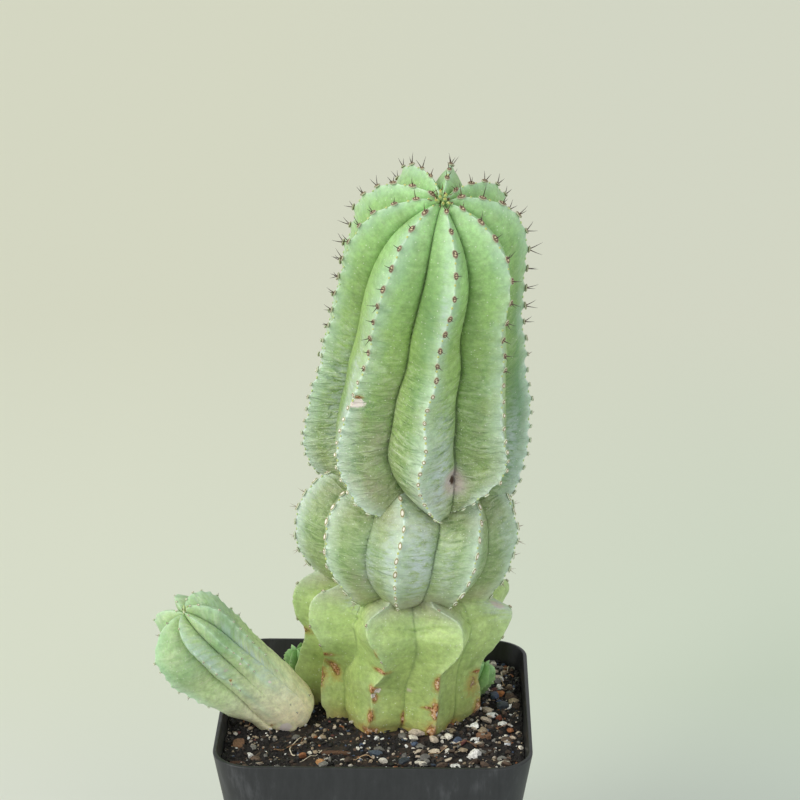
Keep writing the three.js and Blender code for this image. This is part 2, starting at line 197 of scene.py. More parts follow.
def buildAxis():
    heights = np.arange(-34, 168, 0.5)
    front = np.radians(np.interp(heights, *zip(*stemLine["leanFront"])))
    right = np.radians(np.interp(heights, *zip(*stemLine["leanRight"])))
    along = np.stack([np.sin(right), -np.sin(front), np.zeros_like(front)], axis=1)
    along[:, 2] = np.sqrt(1 - (along ** 2).sum(axis=1))
    steps = (along[1:] + along[:-1]) / 2 * np.diff(heights)[:, None]
    points = np.vstack([[0, 0, 0], np.cumsum(steps, axis=0)])
    atSoil = np.array([np.interp(0, heights, points[:, k]) for k in range(3)])
    return heights, points - atSoil + [stemLine["footX"], stemLine["footY"], stemLine["soilLevel"]], along


axisHeights, axisPoints, axisAlong = buildAxis()


def stemPlace(angle, radius, height):
    origin = np.stack([np.interp(height, axisHeights, axisPoints[:, k]) for k in range(3)], axis=-1)
    up = np.stack([np.interp(height, axisHeights, axisAlong[:, k]) for k in range(3)], axis=-1)
    right = np.array([1.0, 0, 0]) - up * up[..., :1]
    right /= np.linalg.norm(right, axis=-1, keepdims=True)
    front = np.cross(right, up)
    turn = np.radians(angle)[..., None]
    return origin + np.asarray(radius)[..., None] * (np.sin(turn) * right + np.cos(turn) * front)


# A straight axis for the offset and the buds.
def straightPlace(base, direction, bend=0.0):
    up = np.array(direction, float) / np.linalg.norm(direction)
    right = np.cross([0, 0, 1.0], up)
    right /= np.linalg.norm(right)
    front = np.cross(right, up)

    def place(angle, radius, height):
        turn = np.radians(angle)[..., None]
        height = np.asarray(height)[..., None]
        middle = np.array(base) + up * height + np.array([0, 0, 1.0]) * bend * height ** 2 / 1000
        return middle + np.asarray(radius)[..., None] * (np.sin(turn) * right + np.cos(turn) * front)

    return place


# The flank's columns lie at these fractions of the way from crest to furrow.
flankSteps = np.array([0, 0.022, 0.055, 0.1, 0.165, 0.25, 0.35, 0.47, 0.59, 0.71, 0.82, 0.91, 0.965, 1.0])
reliefLook = {"toothPower": 1.6, "creaseWidth": 0.6, "beadReach": 0.55, "fineLumps": 0.3}


# The share of the rib's height left at a fraction of the way from crest to furrow.
def flankShare(fraction, ridge, straight):
    def archAt(f):
        return np.sqrt(np.maximum(0, 1 - ((f + ridge) / (1 + ridge)) ** 2))
    return (1 - straight) * archAt(fraction) / archAt(0) + straight * (1 - fraction)


def ease(value, low, high):
    t = np.clip((value - low) / (high - low), 0, 1)
    return t * t * (3 - 2 * t)


def fieldNoise(points, size, seed=0.0):
    shift = Vector((seed, seed * 0.7, -seed))
    return np.array([noise.noise(Vector(p) / size + shift) for p in points])


# Everything about one ribbed body, worked out as a grid: rows from the bottom up, columns round the ribs.
def ribGrid(body, place):
    crest = outlineRows(body["crest"], body["crestStops"], body["rows"])
    furrow = outlineRows(body["furrow"], body["furrowStops"], body["rows"])
    rowCount = len(crest)
    first, second = body["rows"][0], body["rows"][0] + body["rows"][1]
    fraction = np.clip((np.arange(rowCount) - first) / (second - first), 0, 1)
    ribs = body["ribs"]
    angles, full, offsets, valleys = (
        np.stack([smoothValues(rib.get(key, plain), fraction) for rib in ribs], axis=1)
        for key, plain in (("angle", None), ("full", [1, 1]), ("furrow", [0, 0]), ("valley", [0, 0])))
    arc = lengthAlong(crest)
    arc -= arc[first]
    gaps = np.interp(fraction, np.linspace(0, 1, len(body["shieldGap"])), body["shieldGap"])
    turns = np.concatenate([[0], np.cumsum(np.diff(arc) / gaps[1:])])
    random.seed(body["seed"])
    phases = [random.random() for _ in ribs]
    wander = np.stack([np.sin(arc / body["wanderLength"] * 2 * math.pi + phase * 9) for phase in phases], axis=1)
    angles = angles + wander * body["wander"]
    nextAngles = np.roll(angles, -1, axis=1)
    nextAngles[:, -1] += 360
    middles = (angles + nextAngles) / 2 + offsets
    straight = np.interp(fraction, np.linspace(0, 1, len(body["straight"])), body["straight"])
    columns = []
    for number in range(len(ribs)):
        following = (number + 1) % len(ribs)
        columns += [(number, number, f) for f in flankSteps]
        columns += [(number, following, f) for f in flankSteps[1:-1][::-1]]
    shape = (rowCount, len(columns))
    grid = {key: np.zeros(shape) for key in ("angle", "radius", "height", "crestward", "across", "along", "rib")}
    for column, (number, owner, f) in enumerate(columns):
        own = ribs[owner]
        share = flankShare(f, body["ridge"], straight)
        low, high = own.get("shift", (0, 0))
        lift = low * ease(fraction, 0.35, 0.0) + high * ease(fraction, 0.7, 1.0)
        ownAngle = angles[:, owner] + (360 if owner != number and owner == 0 else 0)
        topRadius = crest[:, 0] * full[:, owner]
        valley = valleys[:, number] * ease(fraction, 0, 0.05) * ease(fraction, 1, 0.9)
        chord = crest[:, 0] * np.cos(np.radians(abs(nextAngles[:, number] - angles[:, number]) / 2))
        lowRadius = furrow[:, 0] + (chord - furrow[:, 0]) * valley
        lowHeight = furrow[:, 1] + (crest[:, 1] - furrow[:, 1]) * valley
        depth = np.hypot(topRadius - lowRadius, topRadius * np.radians(abs(middles[:, number] - ownAngle)))
        fromCrest = f * depth
        beat = 0.5 + 0.5 * np.cos((turns - phases[owner]) * 2 * math.pi)
        tooth = body["tooth"] * beat ** reliefLook["toothPower"] * np.exp(-(fromCrest / body["toothReach"]) ** 2)
        bead = body["bead"] * np.exp(-(fromCrest / body.get("beadReach", reliefLook["beadReach"])) ** 2)
        swell = body["swell"] * np.sin(arc / body["swellLength"] * 2 * math.pi + phases[owner] * 20)
        tooth = tooth * ease(fraction, body.get("toothFrom", 0) - 0.01, body.get("toothFrom", 0) + 0.12)
        inBody = ease(fraction, 0, 0.05) * ease(fraction, 1, 0.93)
        crease = -body["crease"] * np.exp(-((depth - fromCrest) / reliefLook["creaseWidth"]) ** 2)
        relief = (tooth + bead + swell * (1 - f)) * inBody + crease
        grid["angle"][:, column] = ownAngle + (middles[:, number] - ownAngle) * f
        grid["radius"][:, column] = lowRadius + (topRadius - lowRadius) * share + relief
        grid["height"][:, column] = lowHeight + (crest[:, 1] + lift - lowHeight) * share
        grid["crestward"][:, column] = 1 - f
        grid["across"][:, column] = fromCrest * (1 if owner == number else -1)
        grid["along"][:, column] = arc
        grid["rib"][:, column] = owner
    grid["fraction"] = np.repeat(fraction[:, None], len(columns), axis=1)
    if "reshape" in body:
        body["reshape"](grid)
    points = place(grid["angle"], grid["radius"], grid["height"])
    flat = points.reshape(-1, 3)
    lumps = fieldNoise(flat, body["lumpSize"], body["seed"]) * body["lump"]
    fineShare = reliefLook["fineLumps"]
    fine = fieldNoise(flat, body["lumpSize"] * fineShare, body["seed"] + 3) * body["lump"] * fineShare
    grid["radius"] = grid["radius"] + (lumps + fine).reshape(shape) * ease(grid["crestward"], -0.3, 0.5)
    grid["points"] = place(grid["angle"], grid["radius"], grid["height"])
    perRib = 2 * (len(flankSteps) - 1)
    grid.update(phases=phases, turns=turns, fractions=fraction, ridges=[perRib * k for k in range(len(ribs))])
    return grid


# Spots along the crest of one rib: every whole turn from the first, with the way the crest faces there.
def crestSpots(grid, rib, step=0.0):
    line = grid["points"][:, grid["ridges"][rib]]
    columns = grid["points"].shape[1]
    beside = grid["points"][:, (grid["ridges"][rib] + 2) % columns] - grid["points"][:, grid["ridges"][rib] - 2]
    turns = grid["turns"] - grid["phases"][rib] - step
    spots = []
    for turn in range(math.ceil(turns[0]), math.floor(turns[-1]) + 1):
        row = np.interp(turn, turns, np.arange(len(turns)))
        fraction = np.interp(row, np.arange(len(turns)), grid["fractions"])
        if fraction < 0.015 or fraction > 0.985:
            continue
        near = int(np.clip(round(row), 1, len(turns) - 2))
        place = Vector([np.interp(row, np.arange(len(turns)), line[:, k]) for k in range(3)])
        upward = Vector(line[near + 1] - line[near - 1]).normalized()
        outward = Vector(beside[near]).normalized().cross(upward).normalized()
        sideways = upward.cross(outward)
        spots.append((fraction, place, Matrix((sideways, upward, outward)).transposed()))
    return spots


# A ball whose rings and columns are moved onto the grid, so that both ends are closed.
def skinGrid(name, grid):
    rows, columns = grid["radius"].shape
    bpy.ops.mesh.primitive_uv_sphere_add(segments=columns, ring_count=rows + 1, radius=1)
    piece = bpy.context.object
    piece.name = piece.data.name = name
    mesh = piece.data
    sphere = np.zeros(len(mesh.vertices) * 3)
    mesh.vertices.foreach_get("co", sphere)
    sphere = sphere.reshape(-1, 3)
    ring = np.rint((math.pi - np.arccos(np.clip(sphere[:, 2], -1, 1))) / math.pi * (rows + 1)).astype(int) - 1
    column = np.rint(np.arctan2(sphere[:, 1], sphere[:, 0]) / (2 * math.pi) * columns).astype(int) % columns
    inside = (ring >= 0) & (ring < rows)
    ringSafe, columnSafe = np.clip(ring, 0, rows - 1), np.where(inside, column, 0)
    placed = grid["points"][ringSafe, columnSafe]
    placed[ring < 0] = grid["points"][0].mean(axis=0)
    placed[ring >= rows] = grid["points"][-1].mean(axis=0)
    mesh.vertices.foreach_set("co", (placed * mm).ravel())
    for key in ("crestward", "across", "along", "rib", "height", "angle"):
        values = grid[key][ringSafe, columnSafe].astype(np.float32)
        mesh.attributes.new(key, "FLOAT", "POINT").data.foreach_set("value", values)
    mesh.update()
    bpy.ops.object.shade_smooth()
    return piece


# Adds one float per vertex that says how strongly a list of patches covers it.
def paintPatches(piece, name, patches):
    mesh = piece.data
    count = len(mesh.vertices)
    height, angle = np.zeros(count), np.zeros(count)
    mesh.attributes["height"].data.foreach_get("value", height)
    mesh.attributes["angle"].data.foreach_get("value", angle)
    cover = np.zeros(count)
    for patchHeight, patchAngle, tall, wide, strength in patches:
        turn = (angle - patchAngle + 180) % 360 - 180
        reach = ((height - patchHeight) / tall) ** 2 + (turn / wide) ** 2
        cover = np.maximum(cover, strength * np.exp(-reach * 1.2))
    mesh.attributes.new(name, "FLOAT", "POINT").data.foreach_set("value", cover.astype(np.float32))


def ribList(angleLists, fullness=None, shifts=None, furrows=None, valleys=None):
    ribs = [{"angle": angles} for angles in angleLists]
    for key, table in (("full", fullness), ("shift", shifts), ("furrow", furrows), ("valley", valleys)):
        for number, value in (table or {}).items():
            ribs[number][key] = value
    return ribs


# The low joint's shoulder has a folded line across each flank, with a hollow above it and a swelling below it.
shoulder = {
    "foldAt": 0.74, "slant": 0.09,
    # how far above the fold, how wide, how far out, and where on the flank it fades
    "bands": [(0, 0.016, -1.3, 0.97, 0.7), (0.06, 0.05, -0.9, 0.97, 0.5), (-0.08, 0.06, 0.4, 1.0, 0.6)],
}


def foldShoulder(grid):
    above = grid["fraction"] - shoulder["foldAt"] - shoulder["slant"] * grid["crestward"]
    radius = grid["radius"]
    for place, width, out, fadeFrom, fadeTo in shoulder["bands"]:
        band = out * np.exp(-((above - place) / width) ** 2) * ease(grid["crestward"], fadeFrom, fadeTo)
        radius = radius + (band * ease(grid["crestward"], 0, 0.3) if out > 0 else band)
    grid["radius"] = radius


# A sunken scar and a small swelling in the top joint: height, angle, size and depth.
topDents = [(80, 20.5, 2.2, 1.6), (104, -43, 2.2, -0.5)]


def dentTop(grid):
    for height, angle, size, depth in topDents:
        turn = np.radians(grid["angle"] - angle) * grid["radius"]
        reach = ((grid["height"] - height) ** 2 + turn ** 2) / size ** 2
        grid["radius"] = grid["radius"] - depth * np.exp(-reach)


# Ribs run from the front left round to the left. Each has its angle in degrees from the front, from bottom to top.
# Crest and furrow are outlines of radius and height, with the stops between which the rows are spread evenly.
# Straight bends the flank, tooth, bead, swell and lump are heights in mm, and valley fills a furrow by a share.
lowJoint = {
    "seed": 5, "rows": (14, 78, 8), "ridge": 0.4, "crease": 0.15, "straight": [0.9, 1.0, 1.35, 1.5, 1.2],
    "crest": [(0.5, -30), (9, -27), (16, -18), (22, -7), (24.6, 2), (24.4, 10), (24.2, 15), (25.2, 19.4),
              (28, 23.4), (30.6, 28), (31.2, 32.5), (29.2, 37), (25, 40), (18, 42), (0.5, 43)],
    "crestStops": (0, 4, 12, 14),
    "furrow": [(0.5, -30), (7, -26.5), (12, -17), (17, -6), (19.6, 2), (20.2, 12), (21.4, 21),
               (23, 28), (23.2, 31.6), (20.6, 35.4), (15, 38.5), (9, 41), (0.5, 42.4)],
    "furrowStops": (0, 4, 10, 12),
    "ribs": ribList([
        [-60, -66, -68, -56, -52, -57, -59, -56], [-22.5, -20.5, -20, -12, -13, -17.5, -20, -13],
        [19.5, 21, 22.5, 21, 25, 28.5, 28, 15], [66, 68, 66, 66, 68, 73, 75, 73], [110, 112, 114, 112],
        [150, 152, 154, 152], [192, 194, 196, 194], [234, 236, 236, 234], [272, 276, 280, 280]],
        fullness={3: [0.9, 0.9, 0.93, 0.95], 4: [0.92, 0.94, 0.96], 8: [1.16, 1.22, 1.18, 1.0, 1.02, 1.03, 1.03]},
        shifts={3: (0, -4), 4: (0, -3), 8: (0, 1)},
        furrows={0: [-10, -10, -4, 0]},
        valleys={0: [0.2, 0.25, 0.1, 0, 0.1], 1: [0.3, 0.3, 0.15, 0.3, 0.35], 2: [0.2, 0.2, 0.1, 0, 0],
                 8: [0, 0.3, 0.1]}),
    "wander": 0.7, "wanderLength": 21, "swell": 0.3, "swellLength": 17, "shieldGap": [6.4, 5.2], "tooth": 0.15,
    "toothReach": 1.4, "bead": 0.95, "beadReach": 0.9, "lump": 0.5, "lumpSize": 9, "reshape": foldShoulder,
}
middleJoint = {
    "seed": 8, "rows": (8, 68, 6), "ridge": 0.4, "crease": 0.2, "straight": [0.9, 0.8, 0.85],
    "crest": [(0.5, 33.5), (12, 33.8), (19.5, 35.3), (24.4, 39), (28.6, 44.8), (30.8, 51), (31.2, 57.5),
              (29.6, 63.5), (26.4, 67.8), (21.5, 71), (12, 73.5), (0.5, 74)],
    "crestStops": (0, 2, 9, 11),
    "furrow": [(0.5, 34), (9, 34.6), (15, 37), (19.5, 41.5), (23.4, 48), (24.2, 56), (22.6, 63),
               (18.4, 68), (12, 71), (0.5, 73)],
    "furrowStops": (0, 2, 7, 9),
    "ribs": ribList([
        [-36, -39, -47, -48, -50, -52], [-7, -7, -8, -7, -6, -11], [29, 28, 30, 33, 38, 44],
        [66, 67, 69, 70, 73, 76], [108, 111, 114, 118], [152, 154, 158], [194, 197, 200], [236, 238, 240],
        [276, 279, 280, 280]],
        fullness={3: [0.97, 0.95, 0.96], 4: [0.96, 0.95, 0.96], 8: [1, 1.04, 1.0]},
        shifts={3: (-3, 0), 1: (1.5, 1), 2: (1, 1)},
        valleys={0: [0.2, 0.5, 0.45, 0.2], 1: [0.3, 0.55, 0.5, 0.2], 2: [0, 0.3, 0.3, 0], 8: [0, 0.3, 0.2]}),
    "wander": 0.4, "wanderLength": 19, "swell": 0.2, "swellLength": 13, "shieldGap": [4.6, 4.2], "tooth": 0.35,
    "toothReach": 1.5, "bead": 0.2, "lump": 0.5, "lumpSize": 10,
}
topJoint = {
    "seed": 3, "rows": (8, 158), "ridge": 0.4, "crease": 0.4, "straight": [0.9, 0.85, 0.75, 0.6, 0.5],
    "crest": [(0.5, 64.2), (12, 64.2), (20.5, 65), (25.5, 66.6), (28.8, 70.2), (30.6, 77), (31.4, 88),
              (29.6, 104), (27.3, 122), (25.7, 138), (23, 148.5), (18, 155), (13, 158.2),
              (8, 160), (4, 160.6), (1, 159.2)],
    "crestStops": (0, 2, 15),
    "furrow": [(0.5, 64.6), (9, 65), (15, 67.5), (18.6, 72.5), (21.6, 80), (22.6, 92), (21.6, 106),
               (19.6, 122), (17.2, 136), (13.8, 147.5), (10, 153.5), (5.6, 157.4), (2.4, 158.9), (0.8, 159.5)],
    "furrowStops": (0, 2, 13),
    "ribs": ribList([
        [-16, -33, -43, -43, -40, -36, -36, -35, -35, -38, -44],
        [22, 7, 0, 1.3, -0.2, 2.8, 3.6, 6.5, 11, 12, 12],
        [24, 31, 47, 43, 42, 43, 41, 46, 53, 57, 57],
        [72, 80, 86, 88, 88, 88, 88, 92, 96, 100, 100],
        [112, 120, 126, 128, 128, 130, 132, 134], [156, 162, 168, 170, 172, 172],
        [196, 204, 208, 206, 200], [240, 246, 246, 242, 240], [262, 276, 282, 282, 282, 280, 277, 274]],
        fullness={3: [0.98, 0.93, 0.92, 0.89, 0.87, 0.92, 1, 1.02], 4: [1, 0.95, 0.94, 1], 5: [1, 1, 1, 0.92],
                  7: [1, 1, 0.98, 1], 8: [0.98, 1, 0.98, 0.95, 0.95, 0.98, 1.02]},
        shifts={2: (3.2, 0)},
        furrows={8: [-2, -8, -10, -9, -2], 1: [3, 3, -1, 0, 0, -1, -2, -5, -8]},
        valleys={0: [0, 0.2, 0.2, 0.22, 0.25], 1: [0.8, 0.65, 0.1, 0.12, 0.12, 0.15, 0.15, 0.18, 0.2, 0.22, 0.25],
                 2: [0, 0, 0.1, 0.15, 0.2],
                 8: [0, 0, 0.1, 0.15, 0.2]}),
    "wander": 0.35, "wanderLength": 23, "swell": 0.2, "swellLength": 15.5, "shieldGap": [3.7, 4, 5.4, 6.2, 5.4],
    "tooth": 0.75, "toothReach": 1.3, "bead": 0.22, "lump": 0.5, "lumpSize": 11, "reshape": dentTop,
}


def buildMainStem():
    joints = [("low", lowJoint), ("middle", middleJoint), ("top", topJoint)]
    grids = {name: ribGrid(body, stemPlace) for name, body in joints}
    return joinPieces("ribbedStem", [skinGrid(name, grid) for name, grid in grids.items()]), grids


# Marks on the main stem's skin: patches of bloom, darker green (partly painted shade), aged tissue, cork, holes and
# chalky chips.
stemMarks = {
    # height, angle, tall, wide, strength
    "bloom": [(84, 12, 17, 8, 1), (100, 10, 12, 5, 0.6), (56, 4, 15, 9, 1), (56, -12, 12, 5, 0.7),
              (98, 108, 18, 10, 0.5), (52, -24, 10, 5, 0.6), (57, -84, 13, 10, 0.6), (37, -45, 3, 6, 0.8),
              (35, 72, 3.5, 8, 0.8), (80, 20, 5, 7, 0.9), (120, 200, 20, 14, 0.7), (60, 160, 12, 14, 0.7),
              (90, 250, 14, 9, 0.5), (95, -70, 25, 5, 0.6), (110, -46, 20, 4, 0.7), (85, 74, 14, 8, 0.7),
              (140, 5, 14, 3, 0.6), (52, 20, 12, 5, 0.5), (57, 64, 8, 5, 0.5)],
    # deep: darker green, mostly painted shade on the right flanks turned away from the key light, with some deeper
    # green skin
    "deep": [(95, 80, 28, 16, 0.95), (76, 80, 10, 16, 0.9), (95, 112, 30, 18, 0.7), (122, 82, 20, 14, 0.6),
             (99, -28, 9, 9, 0.35), (86, -22, 7, 7, 0.35), (138, -5, 20, 8, 0.6), (120, 26, 30, 5, 0.35),
             (104, 30, 22, 6, 0.4), (54, -28, 10, 12, 0.4), (55, 78, 10, 12, 0.55), (110, -8, 28, 5, 0.35),
             (58, 12, 8, 5, 0.3), (56, 46, 10, 12, 0.3), (95, -58, 12, 6, 0.3)],
    "aged": [(75, -30, 8, 15, 1), (90, -26, 14, 10, 0.85), (106, -22, 12, 8, 0.5), (88, -40, 16, 12, 0.6),
             (76, 8, 4, 14, 0.8), (40, 6, 4, 18, 1), (75, 36, 8, 13, 0.7),
             (46, -28, 6, 10, 0.8), (98, 33, 18, 8, 0.4), (80, 120, 12, 20, 0.6), (78, 220, 12, 24, 0.7),
             (52, 50, 9, 10, 0.4), (98, -38, 5, 7, 0.6), (84, 92, 14, 8, 0.6), (42, 45, 4, 10, 0.6)],
    "cork": [(20.8, -15, 0.9, 6, 1), (14.5, -20, 1.4, 3.4, 1), (12, -19, 1.8, 2, 0.9), (6.5, -21, 2.2, 3, 1),
             (1, -22, 2.4, 9, 1), (17.5, 21, 2.8, 2.4, 1), (9, 21, 3.4, 3, 1), (9.5, 17, 0.6, 5, 0.9),
             (2, 19, 3.4, 4, 1), (8, -69, 9, 4, 1), (21, -58, 1, 7, 1), (15, -60, 4, 5, 0.8),
             (12, 61, 4.6, 10, 0.5), (15.5, 64, 0.7, 7, 0.85), (3, 68, 5, 5, 1), (10, 70, 3, 3, 0.8),
             (5, 0, 2.8, 1.8, 0.85),
             (23, -84, 1.5, 6, 0.9), (42.5, 30, 2, 2.6, 0.85), (8, 112, 5, 5, 0.9), (12, 154, 4, 5, 0.9),
             (3, 194, 4, 6, 0.9), (16, 236, 4, 5, 0.9), (2, 150, 3, 8, 0.8), (106.6, -38, 0.8, 2, 1),
             (1.5, 40, 1.5, 10, 0.75), (1, 5, 1.2, 12, 0.7), (25, 31, 2.4, 2, 0.8), (27, -16, 2, 1.6, 0.8)],
    "hole": [(79.3, 22, 3.6, 6, 1), (37.4, -45, 0.8, 1.6, 1), (35, 72, 0.8, 1.8, 1), (14, 3.5, 0.5, 1.2, 1)],
    "chip": [(104.4, -38.4, 2, 4.2, 1), (14, -17.5, 1, 2.2, 0.9), (12.5, -20, 1, 1.6, 0.9), (8, 22, 1.2, 1.6, 0.8)],
}


# Living skin of a succulent: a waxy green cuticle with paler rib margins, dust-like bloom, corky scars and painted
# shade in the furrows.
def succulentSkin(name, look):
    material, tree, shader = newMaterial(name, Roughness=0.5, IOR=1.42, Subsurface_Weight=0.08,
                                         Subsurface_Scale=0.003, Subsurface_Radius=(0.5, 1.0, 0.25))
    found = {key: addNode(tree, "Attribute", out="Fac", attribute_name=key)
             for key in ("crestward", "across", "along", "rib", "height", *stemMarks)}
    place = addNode(tree, "TexCoord", out="Object")
    # the place on the flank, stretched so that wrinkles run across it about 1.3 mm apart
    stretched = [addNode(tree, "Math", {0: found[key], 1: factor}, operation="MULTIPLY")
                 for key, factor in (("along", 0.46), ("across", 0.15), ("rib", 5.3))]
    flankPlace = addNode(tree, "CombineXYZ", dict(enumerate(stretched)))
    noises = {
        # place, scale, detail, roughness, distortion
        "mottle": (place, 110, 3, 0.6, 0), "blotches": (place, 620, 6, 0.75, 0), "grains": (place, 2400, 3, 0.6, 0),
        "tiredness": (place, 420, 4, 0.7, 0), "crumbs": (place, 900, 6, 0.75, 0), "fine": (place, 1500, 2, 0.5, 0),
        "wrinkle": (flankPlace, 1.0, 3.2, 0.6, 1.1), "powder": (flankPlace, 1.7, 5, 0.7, 0),
    }
    inputs = ("Vector", "Scale", "Detail", "Roughness", "Distortion")
    for key, values in noises.items():
        found[key] = addNode(tree, "TexNoise", dict(zip(inputs, values)))
    for key in ("cork", "chip"):
        found[key + "Edge"] = addNode(tree, "Math", {0: found[key], 1: found["crumbs"]}, operation="ADD")
    # lime specks, 0.25 mm, on a few of the cells
    found["speck"] = addNode(tree, "TexVoronoi", {"Vector": place, "Scale": 1250, "Randomness": 1}, out="Distance")
    chance = addNode(tree, "SeparateColor", {0: found["speck"].node.outputs["Color"]})
    found["chosen"] = addNode(tree, "Math", {0: chance, 1: look["speckChance"]}, operation="LESS_THAN")
    ranges = {
        # source, the two values it runs between, the two values that these become
        "age": ("height", *look["span"], 0, 1), "crownFade": ("age", 0.6, 0.85, 1.0, 0.55),
        "marginAge": ("age", *look.get("marginFrom", (0.21, 0.3)), 0.15, 0.92),
        "flankOnly": ("crestward", 0.98, 0.7, 0, 1), "patchy": ("mottle", 0.35, 0.6, 0.35, 1.0),
        "flushPatches": ("mottle", 0.4, 0.6, 0, 1), "darkWrinkle": ("wrinkle", 0.5, 0.34, 0, 1),
        "paleWrinkle": ("wrinkle", 0.52, 0.68, 0, 1), "shade": ("blotches", 0.34, 0.66, 0.78, 1.18),
        "paleGrains": ("grains", 0.56, 0.66, 0, 0.5), "tired": ("tiredness", 0.3, 0.62, 0, 0.75),
        "powdery": ("powder", 0.36, 0.56, 0, 0.8), "speckSize": ("speck", 0.26, 0.14, 0, 0.6),
        "corkHalo": ("corkEdge", 0.62, 0.98, 0, 0.7), "corkCore": ("corkEdge", 0.98, 1.1, 0, 1),
        "chipCore": ("chipEdge", 0.9, 1.02, 0, 1), "holeHalo": ("hole", 0.05, 0.45, 0, 0.7),
        "holeCore": ("hole", 0.78, 0.92, 0, 1),
    }
    for key, (source, *values) in ranges.items():
        found[key] = addNode(tree, "MapRange", {0: found[source], **dict(enumerate(values, 1))})
    ramps = {
        "green": ("age", look["greens"]), "oldness": ("age", look["wrinkles"]), "furrowShadeAge": ("age", look["furrows"]),
        "flushAge": ("age", look.get("flushes", [(0.0, 0.2), (1.0, 0.2)])),
        "mottled": ("mottle", [(0.35, 0.0), (0.68, 0.45)]),
        "flush": ("crestward", [(0.4, 0.0), (0.75, 0.6), (1.0, 0.8)]),
        "margin": ("crestward", [(0.62, 0.0), (0.86, 0.35), (0.955, 0.6), (0.985, 0.95), (1.0, 1.0)]),
        # painted shade: the green turns dark towards the furrow bottoms
        "furrow": ("crestward", [(0.0, 0.8), (0.03, 0.3), (0.1, 0.0)]),
        "corkColour": ("crumbs", [(0.36, "#35241a"), (0.43, "#8f5c34"), (0.51, "#cf985f"), (0.64, "#eed8bc")]),
    }
    for key, (source, stops) in ramps.items():
        found[key] = addNode(tree, "ValToRGB", {0: found[source]}, stops=stops)
    layers = [
        # the factors of each layer's amount, and its colour
        (["mottled"], look["mottle"]), (["darkWrinkle", "flankOnly", "oldness", "patchy"], look["wrinkle"]),
        (["paleWrinkle", "flankOnly", "oldness", "patchy"], look["pale"]), ([], "shade"),
        # the deep layer here is darker green, partly painted shade on the flanks turned away from the key light
        (["paleGrains", "oldness"], "#d5dec6"), (["deep"], "#5c8350"), (["aged", "tired"], look["aged"]),
        (["flush", "flushPatches", "flushAge"], look.get("flush", "#9ccbb0")),
        # the furrow layer on the next line paints shade into the furrow bottoms
        (["margin", "marginAge", "crownFade", "shade"], look["margin"]), (["furrow", "furrowShadeAge"], look["furrow"]),
        (["bloom", "powdery"], look["bloom"]), (["speckSize", "chosen"], "#dfe6cf"), (["corkHalo"], look["halo"]),
        (["corkCore"], "corkColour"), (["chipCore"], "#e9ddd2"), (["holeHalo"], "#c9b7b0"), (["holeCore"], "#4c3a2c"),
    ]
    green = found["green"]
    for factors, tone in layers:
        amount, *others = [found[factor] for factor in factors] or [1.0]
        for other in others:
            amount = addNode(tree, "Math", {0: amount, 1: other}, operation="MULTIPLY")
        green = addNode(tree, "Mix", {0: amount, 6: green, 7: found[tone] if tone in found else paint(tone)}, out=2,
                        data_type="RGBA", blend_type="MULTIPLY" if tone == "shade" else "MIX")
        if "bloom" in factors:
            dull = addNode(tree, "MapRange", {0: amount, 3: look["roughness"], 4: 0.8})
    normal = {}
    for key, factor, strength, depth in (("wrinkle", "oldness", 0.8, 0.0015), ("fine", None, 0.25, 0.00015),
                                         ("crumbs", "corkCore", 0.9, 0.0008)):
        height = found[key]
        if factor:
            height = addNode(tree, "Math", {0: height, 1: found[factor]}, operation="MULTIPLY")
        bump = addNode(tree, "Bump", {"Height": height, "Strength": strength, "Distance": depth, **normal})
        normal = {"Normal": bump}
    feedShader(shader, Base_Color=green, Roughness=dull, **normal)
    return material


stemLook = {
    "span": (0, 160), "roughness": 0.46, "speckChance": 0.16,
    "flushes": [(0.0, 0.0), (0.25, 0.0), (0.3, 0.12), (0.42, 0.15), (0.5, 0.25), (1.0, 0.4)],
    "furrows": [(0.0, 0.4), (0.22, 0.4), (0.3, 0.6), (0.45, 0.7), (1.0, 0.6)],
    "wrinkles": [(0.0, 0.12), (0.2, 0.14), (0.28, 0.4), (0.4, 0.55), (0.46, 0.95), (0.62, 0.8), (0.76, 0.35),
                 (1.0, 0.1)],
    "greens": [(0.0, "#b3a765"), (0.04, "#acbb6c"), (0.15, "#b1c878"), (0.22, "#b4ca80"), (0.245, "#b3b68c"),
               (0.28, "#94a76d"), (0.36, "#97ad75"), (0.42, "#98a074"), (0.5, "#92a669"), (0.62, "#92af63"),
               (0.8, "#98b967"), (0.92, "#9dc67a"), (1.0, "#a8d292")],
    "mottle": "#809d56", "wrinkle": "#54762f", "pale": "#c4d3a8", "aged": "#98957c", "margin": "#d6e8d8",
    # furrow is the colour of the painted shade in the furrows, and furrows sets its strength by height
    "furrow": "#4f7434", "bloom": "#c6d2d4", "halo": "#b08c40",
}

ribbedStem, stemGrids = buildMainStem()
for markName, patches in stemMarks.items():
    paintPatches(ribbedStem, markName, patches)
finishPiece(ribbedStem, succulentSkin("waxySucculentSkin", stemLook), "stem_skin", ["main_stem"])
print("main stem:", len(ribbedStem.data.polygons), "faces")


